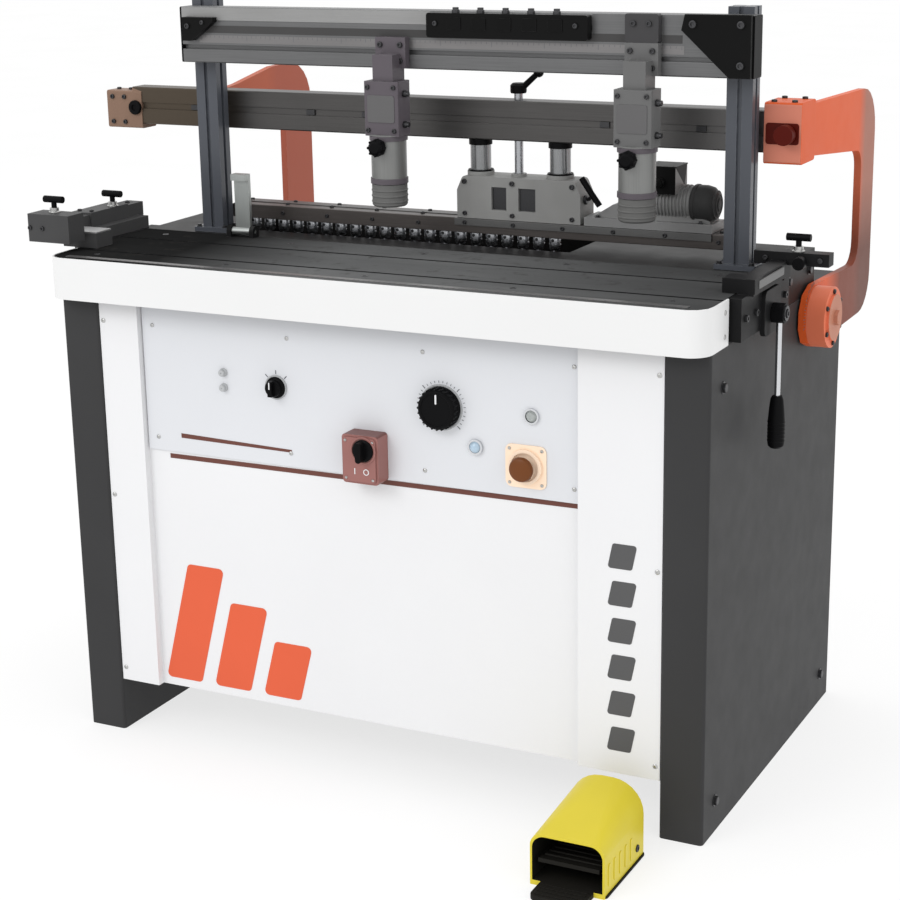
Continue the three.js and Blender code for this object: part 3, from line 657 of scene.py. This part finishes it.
def slanted(x0, x1, z0, z1, lean, r=7, n=4):
    """A parallelogram with rounded corners, its top moved over by lean."""
    base = [(x0, z0), (x1, z0), (x1 + lean, z1), (x0 + lean, z1)]
    out = []
    for i, p in enumerate(base):
        a, b = base[i - 1], base[(i + 1) % 4]
        va, vb = Vector((a[0] - p[0], a[1] - p[1])).normalized(), Vector((b[0] - p[0], b[1] - p[1])).normalized()
        half = math.acos(max(-1, min(1, va.dot(vb)))) / 2
        d = r / math.tan(half)
        c = Vector(p) + (va + vb).normalized() * (r / math.sin(half))
        s, e = Vector(p) + va * d - c, Vector(p) + vb * d - c
        t0 = math.atan2(s.y, s.x)
        dt = math.atan2(e.y, e.x) - t0
        while dt > math.pi:
            dt -= 2 * math.pi
        while dt < -math.pi:
            dt += 2 * math.pi
        out += [(c.x + r * math.cos(t0 + dt * k / n), c.y + r * math.sin(t0 + dt * k / n)) for k in range(n + 1)]
    return out


# ---- front panel: printed lines, plain bars, screws --------------------------------------
CP = 15.5          # front of the control plate
k = Kit()
k.prism("y", slanted(-461, -381, 120, 356, 62, 9), 19.4, 19.95)
k.prism("y", slanted(-352, -272, 120, 292, 45, 9), 19.4, 19.95)
k.prism("y", slanted(-243, -163, 120, 230, 29, 9), 19.4, 19.95)
k.done("front_stripes_orange", "stand", PRINT_ORANGE, 0.15)
k = Kit()
for i in range(6):
    z = 146 + i * 66
    k.prism("y", slanted(456, 500, z, z + 44, 9, 5), 3.5, 3.97)
k.done("column_bars_dark", "stand", PRINT_DARK, 0.15)
k = Kit()
k.prism("y", [(-424, 561.5), (399, 566.5), (399, 575.4), (-424, 570.2)], 19.4, 19.96, 0)
k.prism("y", [(-394, 604.5), (-158, 602.5), (-158, 607.5), (-394, 613.0)], CP - 0.5, CP - 0.03, 0)
k.done("panel_lines", "stand", PRINT_RED)
k = Kit()
for x in (-445, -160, 110, 391):
    k.pan("y", x, 601, CP - 0.1, -1)
    k.pan("y", x, 812, CP - 0.1, -1)
for x in (-545, 545):
    for z in (130, 480, 815):
        k.pan("y", x, z, 3.9, -1, 4.5)
k.done("panel_screws", "stand", ZINC)

# scale marks round the dial and the selector
k = Kit()
for i in range(28):
    a = math.radians(225 - i * 10)
    r0, r1, w = (43, 50, 0.7) if i % 9 == 0 else (43, 47, 0.45)
    c, s = math.cos(a), math.sin(a)
    q = [(r0, -w), (r1, -w), (r1, w), (r0, w)]
    k.prism("y", [(144 + c * u - s * v, 718 + s * u + c * v) for u, v in q], CP - 0.4, CP - 0.03)
for d in (135, 90, 45):
    a = math.radians(d)
    c, s = math.cos(a), math.sin(a)
    q = [(24, -0.8), (31, -0.8), (31, 0.8), (24, 0.8)]
    k.prism("y", [(-185 + c * u - s * v, 721 + s * u + c * v) for u, v in q], CP - 0.4, CP - 0.03)
k.done("dial_marks", "stand", TICK)

# pointer lines on the knobs
k = Kit()
k.prism("y", rounded(142.6, 145.4, 728, 745, 1.2, 2), CP - 22.2, CP - 20.3)
k.done("dial_pointer", "dial", WHITE, 0.2)
k = Kit()
for i in range(24):
    a = 2 * math.pi * i / 24
    k.cyl("y", 144 + 35.6 * math.cos(a), 718 + 35.6 * math.sin(a), 1.9, CP - 20, CP - 9.5, 8)
k.done("dial_grips", "dial", BLACKP, 0.3)
k = Kit()
k.prism("y", rounded(-186, -184, 722, 735, 0.8, 2), CP - 25.6, CP - 24.6)
k.done("selector_pointer", "selector", WHITE)
k = Kit()
k.ring("y", -185, 721, 19.6, 22.5, CP - 3, CP - 0.1)
k.ring("y", 144, 718, 38, 41, CP - 2.2, CP - 0.1, 40)
k.done("knob_bezels", "stand", GREYP, 0.5)

# pilot lamps and fuse caps
k = Kit()
k.ring("y", 314, 720, 10.6, 14, CP - 4.5, CP - 0.1, 32, 0)
k.ring("y", 209, 655, 10.2, 14, CP - 5.5, CP - 0.1, 32, 0)
k.turn("y", 209, 655, [(0, CP - 0.1), (10, CP - 0.1), (10, CP - 5), (8, CP - 8), (4, CP - 9.8), (0, CP - 10.2)], 28, 1)
k.done("pilot_lamps", "stand", [CHROME, BLUELENS], 0.4)
k = Kit()
for z in (738, 710):
    k.turn("y", -295, z, [(0, CP - 0.1), (8, CP - 0.1), (8, CP - 2.5), (6.2, CP - 3.5), (6.2, CP - 9), (5, CP - 10.2), (1.2, CP - 10.2), (1.2, CP - 8.6), (0, CP - 8.6)], 20)
k.done("fuse_caps", "stand", GREYP, 0.4)

# stop button plate and collar
k = Kit()
k.prism("y", rounded(265, 341, 593, 669, 12), CP - 2.6, CP - 0.1)
k.ring("y", 303, 631, 25, 31, 6.2, CP - 2.5, 40)
k.done("stop_plate", "stand", SIGNAL, 0.8)
k = Kit()
for x, z in ((273, 601), (333, 601), (273, 661), (333, 661)):
    k.pan("y", x, z, CP - 2.6, -1, 3)
k.done("stop_plate_screws", "stand", ZINC)

# main switch: lid, seam, screws, on and off marks
k = Kit()
k.prism("y", rounded(-29.5, 34.5, 578, 658, 7), -25.6, -22.05)
k.ring("y", 11, 636, 21.5, 25, -27.4, -25.5, 36)
k.done("switch_lid", "stand", REDP, 0.9, 3)
k = Kit()
for x, z in ((-24, 584), (29, 584), (-24, 652), (29, 652)):
    k.pan("y", x, z, -25.5, -1, 2.8, 0)
k.box(-7.2, -5.6, -26.2, -25.55, 592, 603, 1)
k.ring("y", 16, 597.5, 4.2, 5.6, -26.2, -25.55, 24, 1)
k.done("switch_marks", "stand", [ZINC, WHITE])

# ---- table ------------------------------------------------------------------------------
k = Kit()
for x in (-560, -280, 0, 280, 560):
    k.cap("z", x, 18, 934.6, 1, 6, 1.0)
    k.cap("z", x, 240, 934.6, 1, 6, 1.0)
k.done("table_screws", "stand", BOLT)
k = Kit()
k.box(-600, 600, -24, -10, 934.9, 935.9, 0)
for i in range(121):
    x = -600 + i * 10
    k.box(x - 0.4, x + 0.4, -23.5, -23.5 + (9 if i % 10 == 0 else 6 if i % 5 == 0 else 4), 935.85, 936.05, 1)
k.done("table_rule", "stand", [RULE, TICK])
k = Kit()
for x in (-560, -300, 300, 440, 600):
    k.cap("z", x, 500, 934.8, 1, 6.5, 4)
for y in (120, 230, 400, 520):
    k.hexbolt("x", 0 if False else y, 900, 632.6, 1, 6.5, 4.5) if y > 340 else None
k.done("bed_screws", "stand", BOLT, 0.3)
k = Kit()
for x in (-635.2, 635.2):
    s = -1 if x < 0 else 1
    k.pan("x", 50, 876, s * 636.9, s, 4.5)
    k.pan("x", 50, 916, s * 636.9, s, 4.5)
k.done("rail_screws", "stand", ZINC)
k = Kit()
for s in (-1, 1):
    for y in (60, 680):
        for z in (60, 790):
            # the upper rear one is flat, because the arm swings past it
            if y == 680 and z == 790:
                k.pan("x", y, z, s * 633, s, 4.5)
            else:
                k.hexbolt("x", y, z, s * 633, s, 7.5, 5)
k.done("casing_bolts", "stand", BOLT, 0.3)

# ---- end stops and lock lever --------------------------------------------------------------
k = Kit()
for x, y, z in ((-662, 34, 1004), (-670, 226, 986), (678, 303, 974)):
    k.turn("z", x, y, [(0, z), (11, z), (11, z + 1.5), (8.5, z + 3), (8.5, z + 9), (0, z + 9)], 22)
k.done("stop_clamp_collars", "stand", ZINC, 0.4)
k = Kit()
for y in (100, 150, 306):
    k.cap("x", y, 898, 654.9, 1, 6, 5)
for y in (100, 160, 250, 306):
    k.cap("x", y, 898, -654.9, -1, 6, 5)
for y in (92, 292):
    k.cap("z", -683, y, 981.9, 1, 4.5, 3.5)
for x in (-697, -669):
    k.cap("z", x, 156, 985.9, 1, 4.2, 3.5)
    k.cap("y", x, 978, 4.1, -1, 4.2, 3.5)
for x in (625, 720):
    k.cap("y", x, 963, 289.1, -1, 4.5, 4)
k.done("stop_screws", "stand", BOLT, 0.2)
k = Kit()
k.box(-655, -593, 63, 111, 962.9, 966, 0)
k.prism("x", rounded(130, 262, 941, 955, 3), 663.9, 667, 1)
k.done("stop_pads", "stand", [PLATE, EDGE], 0.8)
k = Kit()
k.ring("x", 219, 885, 8, 13, 684.8, 687.5, 28, 0)
k.cap("x", 219, 885, 684.9, 1, 7, 5, 0)
k.done("lock_lever_cap", "lock_lever", BOLT, 0.3)
k = Kit()
k.turn("z", 674, 219, [(0, 652), (9.5, 652.4), (13.5, 656), (14.8, 663), (14.8, 700), (13, 722), (11, 738), (8.5, 743), (0, 743)], 24)
for i in range(6):
    z = 664 + i * 6.5
    k.turn("z", 674, 219, [(0, z), (14.6, z), (15.6, z + 1.4), (14.6, z + 2.8), (0, z + 2.8)], 24)
k.done("lock_lever_grip", "lock_lever", BLACKP, 0.3)

# ---- gantry ----------------------------------------------------------------------------------
k = Kit()
for xc in (-491.5, 568):
    for dx in (-29, 29):
        for y in (300, 333):
            k.hexbolt("z", xc + dx, y, 944, 1, 4.2, 3.5, 1)
k.done("post_foot_bolts", "stand", [BLACKP, BOLT], 0.3)
k = Kit()
for x0, x1 in ((-515.5, -511.9), (601.9, 605.5)):
    k.prism("x", rounded(262, 303, 1262, 1364, 3), x0, x1)
k.done("beam_end_caps", "stand", BLACKP, 0.6)
k = Kit()
k.prism("y", [(-501, 1346), (-434, 1346), (-434, 1338), (-462, 1317), (-482, 1303), (-501, 1303)], 246, 261.9, 0)
k.cap("y", -489, 1330, 246.1, -1, 5, 4, 1)
k.cap("y", -456, 1337, 246.1, -1, 4, 4, 1)
k.done("beam_corner_left", "stand", [MOTOR, BOLT], 1.0)
k = Kit()
k.prism("y", [(482, 1340), (566, 1263), (603, 1263), (603, 1366), (488, 1366)], 251, 261.8, 0)
for x, z in ((503, 1350), (586, 1350), (586, 1284)):
    k.cap("y", x, z, 251.1, -1, 6.5, 5, 1)
k.done("beam_gusset_right", "stand", [MOTOR, BOLT], 1.0)
k = Kit()
k.prism("y", rounded(12, 318, 1319.4, 1362, 5), 243, 261.9, 0)
for x in (30, 296):
    k.cap("y", x, 1344, 243.1, -1, 4.5, 4, 1)
for i in range(5):
    x = 66 + i * 48
    k.turn("z", x, 252, [(0, 1361.5), (7, 1361.5), (7, 1367), (5.5, 1368), (5.5, 1371.5), (0, 1371.5)], 18, 2)
    k.prism("y", rounded(x - 14, x + 14, 1333, 1355, 2, 2), 241.4, 243.2, 3)
k.done("beam_manifold", "stand", [GLOSSB, BOLT, BOLT, MOTOR], 0.8)
k = Kit()
# Beam front: a light strip along the top as painted highlight, beam-coloured covers over the drawn upper slot, and a
# dark strip as the painted shade of a slot.
k.box(-511, 11, 261.75, 262.5, 1340, 1363.2, 0)
k.box(319, 481, 261.86, 262.5, 1333, 1363.2, 1)
k.box(-511, 11, 261.80, 262.5, 1331, 1339.6, 1)
k.box(-511, 481, 261.78, 262.5, 1317, 1330.6, 2)
k.done("beam_covers_and_painted_light", "stand", [STRIP_HIGHLIGHT, BEAM, SLOT_SHADE], 0)
k = Kit()
k.box(-474, 484, 261.75, 262.6, 1299, 1313, 0)
k.done("beam_rule", "stand", RULE)
k = Kit()
for i in range(96):
    x = -470 + i * 10
    k.box(x - 0.4, x + 0.4, 261.71, 261.8, 1312.5 - (9 if i % 10 == 0 else 6 if i % 5 == 0 else 4), 1312.5)
k.done("beam_rule_marks", "stand", TICK)

for side, x in (("left", -62), ("right", 414)):
    body = f"presser_{side}"
    k = Kit()
    for dx in (-20, 20):
        k.cap("y", x + dx, 1305, 246.1, -1, 5, 4.5, 0)
        k.cap("y", x + dx, 1277, 246.1, -1, 5, 4.5, 0)
    for dx in (-26, 26):
        for z in (1158, 1234):
            k.cap("y", x + dx, z, 206.1, -1, 4.2, 4, 0)
    k.ring("z", x, 232, 31.6, 34.5, 1139, 1147.5, 32, 1)
    k.ring("z", x, 232, 31.6, 34.0, 1062.2, 1072, 32, 1)
    k.turn("x", 226, 1222, [(0, x + 34.8), (6, x + 34.8), (6, x + 41), (4.6, x + 42), (4.6, x + 46), (0, x + 46)], 16, 2)
    k.turn("x", 226, 1168, [(0, x + 34.8), (6, x + 34.8), (6, x + 41), (4.6, x + 42), (4.6, x + 46), (0, x + 46)], 16, 2)
    k.done(f"presser_{side}_fittings", body, [BOLT, PRESS, BOLT], 0.4)
    k = Kit()
    k.prism("y", rounded(x - 27, x + 27, 1172, 1220, 4), 204.6, 206.2)
    k.done(f"presser_{side}_face_plate", body, FACE, 0.4)
    k = Kit()
    for z in (1030, 1040, 1050):
        k.turn("z", x, 232, [(0, z - 2), (31.9, z - 2), (33, z - 1), (33, z + 1), (31.9, z + 2), (0, z + 2)], 36)
    k.done(f"presser_{side}_foot_ribs", f"{body}_plunger", RUBBER, 0.4)
    k = Kit()
    for i in range(8):
        a = 2 * math.pi * i / 8
        k.cyl("y", x + 13.6 * math.cos(a), 1130 + 13.6 * math.sin(a), 2.6, 178, 193, 10)
    k.done(f"presser_{side}_knob_lobes", f"{body}_lock", BLACKP, 0.8)
k = Kit()
k.prism("y", rounded(384, 444, 1318.2, 1366, 4), 246, 261.75, 0)
k.cap("y", 400, 1350, 246.1, -1, 5, 4.5, 1)
k.cap("y", 428, 1350, 246.1, -1, 5, 4.5, 1)
k.done("presser_right_upper_clamp", "presser_right", [PRESSD, BOLT], 1.2)

# ---- tilting frame ------------------------------------------------------------------------------
k = Kit()
for z in (1131, 1180):
    k.cap("y", -752, z, 361.1, -1, 4.5, 4)
    k.cap("y", -724, z, 361.1, -1, 4.5, 4)
for x in (-752, -724):
    k.cap("z", x, 385, 1191.9, 1, 4.5, 4)
k.done("crossbar_end_screws", "tilt_frame", BOLT, 0.3)
k = Kit()
k.prism("y", rounded(602, 660, 1146, 1182, 5), 342.6, 345.1, 0)
k.done("sleeve_clamp_plate", "tilt_frame", OXBLOOD, 0.8)
k = Kit()
k.turn("y", -698, 1160, [(0, 361.2), (14, 361.2), (14, 356), (12.5, 354.4), (6, 354.4), (5.6, 357), (0, 357)], 28, 0)
for x in (-560, -300, -180, 300, 480):
    k.box(x - 9, x + 9, 363.6, 366, 1159, 1169, 1)
k.done("crossbar_slot_nuts", "tilt_frame", [BLACKP, BOLT], 0.4)
k = Kit()
for x in (-662, -621):
    for z in (1150, 1176):
        k.hexbolt("y", x, z, 418.9, 1, 4.8, 4.5)
for s in (-1, 1):
    for i in range(6):
        a = math.radians(30 + 60 * i)
        k.cap("x", 505 + 47 * math.cos(a), 820 + 47 * math.sin(a), s * 683.9, s, 4.4, 4)
for y, z in ((356, 1206), (414, 1206)):
    k.cap("z", 612, y, 1215.9, 1, 5, 4)
    k.cap("z", 648, y, 1215.9, 1, 5, 4)
k.done("arm_bolts", "tilt_frame", BOLT, 0.3)
k = Kit()
for i in range(19):
    a = math.radians(100 + i * 5)
    r0, r1 = 60, (70 if i % 3 == 0 else 66)
    c, s = math.cos(a), math.sin(a)
    k.prism("x", [(505 + c * u - s * v, 820 + s * u + c * v) for u, v in ((r0, -0.5), (r1, -0.5), (r1, 0.5), (r0, 0.5))], 650.45, 650.9)
k.done("tilt_scale_marks", "tilt_frame", TICK)

# ---- boring head ----------------------------------------------------------------------------------
k = Kit()
for x in (47, 206):
    k.ring("z", x, 385, 19.6, 23.6, 1068.9, 1071.6, 36, 0)
for x in (28, 124, 242):
    k.cap("y", x, 1052, 354.1, -1, 4.6, 4.5, 1)
    k.cap("y", x, 993.5, 354.1, -1, 4.2, 4, 1)
k.prism("y", rounded(82.6, 111.4, 1002.6, 1043.4, 2), 358.9, 359.97, 1)
k.prism("y", rounded(136.6, 169.4, 1002.6, 1043.4, 2), 358.9, 359.97, 1)
k.done("carriage_fittings", "boring_head", [BLACKP, BOLT], 0.3)
k = Kit()
k.tube([(257, 376, 1027), (267, 375, 1029), (275, 368, 1036), (278, 356, 1045), (279, 350, 1046)], 3.4, 12, 0)
k.turn("x", 376, 1027, [(0, 257.6), (8.5, 257.6), (8.5, 261.5), (7, 263), (0, 263)], 18, 0)
k.tube([(262, 350, 1070), (265, 350, 1066), (279, 350, 1046), (294, 350, 1026), (297, 350, 1022)], 5.6, 14, 1)
k.done("carriage_clamp_lever", "boring_head", [BOLT, BLACKP], 0.3)
k = Kit()
k.box(8, 507, 349.4, 353.1, 971, 983.8)
k.done("block_edge_strip", "boring_head", EDGE, 0.5)
k = Kit()
for i in range(11):
    x = -461 + i * 98
    front = 349.5 if 8 < x < 507 else 353.1
    k.cap("y", x, 977 if 8 < x < 507 else 970.5, front, -1, 3.8, 3.2)
for i in range(11):
    x = -461 + i * 98
    if x < 0 or x > 510:
        k.cap("z", x, 372, 983.9, 1, 4.2, 3.5)
        k.cap("z", x, 402, 983.9, 1, 4.2, 3.5)
k.done("block_screws", "boring_head", BOLT, 0.2)
k = Kit()
k.box(-470, 4, 379, 394, 983.9, 985.4)
k.done("block_cover_strip", "boring_head", BAR, 0.3)
k = Kit()
for i in range(15):
    x = 364 + i * 6.4
    k.ring("x", 385, 1031, 29.2, 32.4, x, x + 2.2, 44, 2)
for x in (290, 484):
    for y in (357, 413):
        k.hexbolt("z", x, y, 999.9, 1, 3.2, 3.4, 1)
k.ring("x", 385, 1031, 32.6, 34.2, 466, 471, 44, 3)
for r0, x0, x1 in ((23.0, 499, 505.8), (16.5, 504, 508.9), (10.3, 506, 510.9)):
    k.ring("x", 385, 1031, r0, r0 + 1.8, x0, x1, 40, 3)
k.prism("z", rounded(384.5, 442.5, 343.6, 405.4, 3, 3), 1096.4, 1098.9, 0)
for x, y in ((391, 350), (436, 350), (391, 399), (436, 399)):
    k.pan("z", x, y, 1097.5, 1, 2.6, 1)
k.turn("y", 413, 1070, [(0, 345.2), (9, 345.2), (9, 340), (7, 338.5), (7, 332), (5, 331), (0, 331)], 18, 0)
k.done("motor_details", "boring_head", [MOTOR, BOLT, MOTORGREY, FAN], 0.3)


def spindle_mesh():
    """One drill chuck with flats, a set screw and a fluted bit, on the axis."""
    bm = bmesh.new()
    seg = 24
    prof = [(0, 956.3), (10.6, 956.3), (11, 955.5), (11, 944), (10.2, 943.2), (10.2, 941.8), (11, 941), (11, 934.2), (8.6, 930.2), (4.6, 929.4), (0, 929.4)]
    rings = []
    for r, z in prof:
        if r == 0:
            rings.append([bm.verts.new((0, 0, z))])
        else:
            rings.append([bm.verts.new((r * math.cos(2 * math.pi * i / seg), r * math.sin(2 * math.pi * i / seg), z)) for i in range(seg)])
    for p, q in zip(rings, rings[1:]):
        for i in range(seg):
            j = (i + 1) % seg
            if len(p) == 1:
                bm.faces.new((p[0], q[j], q[i]))
            elif len(q) == 1:
                bm.faces.new((p[i], p[j], q[0]))
            else:
                bm.faces.new((p[i], p[j], q[j], q[i]))
    # fluted bit: a two-lobed section twisted along its length
    n, steps = 20, 12
    lay = []
    for s in range(steps + 1):
        z = 929.6 - 18.4 * s / steps
        tw = s * 0.5
        k_ = 1.0 if s < steps else 0.55
        lay.append([bm.verts.new(((2.55 + 1.35 * abs(math.cos(2 * math.pi * i / n)) ** 0.6) * k_ * math.cos(2 * math.pi * i / n + tw), (2.55 + 1.35 * abs(math.cos(2 * math.pi * i / n)) ** 0.6) * k_ * math.sin(2 * math.pi * i / n + tw), z)) for i in range(n)])
    for p, q in zip(lay, lay[1:]):
        for i in range(n):
            j = (i + 1) % n
            bm.faces.new((p[i], p[j], q[j], q[i]))
    bm.faces.new(list(reversed(lay[0])))
    tip = bm.verts.new((0, 0, 909.4))
    for i in range(n):
        bm.faces.new((lay[-1][i], lay[-1][(i + 1) % n], tip))
    # set screw
    ring = [[bm.verts.new((3 * math.cos(2 * math.pi * i / 12), y, 949 + 3 * math.sin(2 * math.pi * i / 12))) for i in range(12)] for y in (-10.2, -11.6)]
    for i in range(12):
        j = (i + 1) % 12
        f = bm.faces.new((ring[0][i], ring[0][j], ring[1][j], ring[1][i]))
        f.material_index = 1
    for r_ in (ring[0], list(reversed(ring[1]))):
        f = bm.faces.new(r_)
        f.material_index = 1
    bmesh.ops.recalc_face_normals(bm, faces=bm.faces[:])
    return bm


for i in range(21):
    name = f"spindle_{i + 1:02d}"
    bm = spindle_mesh()
    x, y = -445 + 32 * i, 385
    for v in bm.verts:
        v.co = W(x + v.co.x, y + v.co.y, v.co.z)
    me = bpy.data.meshes.new(f"{name}_chuck")
    bm.to_mesh(me)
    bm.free()
    me.materials.append(TURNED)
    me.materials.append(BOLT)
    o = bpy.data.objects.new(f"{name}_chuck", me)
    bpy.context.scene.collection.objects.link(o)
    finish_mesh(o)
    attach(o, name)
    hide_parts(name)

# ---- pedal -----------------------------------------------------------------------------------------
k = Kit()
for s in (-1, 1):
    x = 487 + s * 66.0
    for y in (-220, -196, -172, -148, -124):
        k.prism("x", rounded(y - 5, y + 5, 16, 56, 4.5), x - s * 0.5, x + s * 1.3)
k.done("pedal_side_ribs", "stand", YELLOW, 0.5)
k = Kit()
k.prism("z", rounded(418, 556, -239, -65, 8), 0.2, 4.5)
k.done("pedal_base_mat", "stand", RUBBERB, 0.8)
k = Kit()
for y in (-283, -272, -261, -250):
    k.box(447, 527, y, y + 5, 8.8, 10.6)
k.done("pedal_lip_ribs", "stand", RUBBERB, 0.4)
k = Kit()
for s in (-1, 1):
    k.cap("x", -98, 26, 487 + s * 65.8, s, 6.5, 2.6)
for x in (446, 528):
    k.pan("y", x, 30, -68.1, 1, 4)
k.turn("y", 487, 40, [(0, -68.5), (13, -68.5), (13, -62), (9, -59), (9, -52), (0, -52)], 22)
k.done("pedal_fasteners", "stand", BOLT, 0.3)
ca, sa = math.cos(-0.1), math.sin(-0.1)


def tread(u, w):
    """Point on the treadle: u back from the hinge, w above its middle plane."""
    y, z = -u, w
    return (-98 + y * ca - z * sa, 30 + y * sa + z * ca)


k = Kit()
for i in range(6):
    u = 22 + i * 18
    a, b, c, d = tread(u, 3.3), tread(u + 7, 3.3), tread(u + 6, 5.6), tread(u + 1, 5.6)
    k.prism("x", [a, b, c, d], 437, 537)
k.done("treadle_ribs", "treadle", RUBBERB, 0.4)

# ---- rear panel details --------------------------------------------------------------------------------
k = Kit()
for x in (-540, -270, 0, 270, 540):
    for z in (122, 838):
        k.pan("y", x, z, 552.9, 1, 4.5)
k.done("rear_screws", "stand", ZINC)

# ---- floor, light ----------------------------------------------------------------------------------------
me = bpy.data.meshes.new("floor")
S = 40.0
me.from_pydata([(-S, -S, 0), (S, -S, 0), (S, S, 0), (-S, S, 0)], [], [(0, 1, 2, 3)])
floor = bpy.data.objects.new("floor", me)
bpy.context.scene.collection.objects.link(floor)
fm = Mat("studio_floor")
fm.colour(fm.ramp(fm.noise(1.5, 3), [(0.3, (0.25, 0.25, 0.25)), (0.7, (0.265, 0.265, 0.265))]))
fm.put("Roughness", 0.9)
fm.put("Specular IOR Level", 0.0)
fm.put("Emission Color", (1.0, 1.0, 1.0, 1.0))
fm.put("Emission Strength", 0.735)
me.materials.append(fm.m)

world = bpy.data.worlds.new("studio")
bpy.context.scene.world = world
world.use_nodes = True
bg = world.node_tree.nodes["Background"]
bg.inputs["Color"].default_value = (1.0, 1.0, 1.0, 1)
bg.inputs["Strength"].default_value = 1.02


def area(name, loc, target, size, power):
    d = bpy.data.lights.new(name, "AREA")
    d.shape = "RECTANGLE"
    d.size, d.size_y = size
    d.energy = power
    o = bpy.data.objects.new(name, d)
    bpy.context.scene.collection.objects.link(o)
    o.location = loc
    o.rotation_mode = "QUATERNION"
    o.rotation_quaternion = (Vector(target) - Vector(loc)).to_track_quat("-Z", "Y")


area("key", (-1.6, -4.2, 3.6), (0, 0, 0.7), (2.4, 1.8), 60)
area("fill", (3.8, -2.6, 2.2), (0, 0, 0.7), (2.4, 2.4), 12)
area("top", (0, 0.6, 4.2), (0, 0, 0.8), (3.0, 2.0), 25)

bpy.context.scene.view_settings.view_transform = "Standard"
bpy.context.scene.view_settings.look = "None"
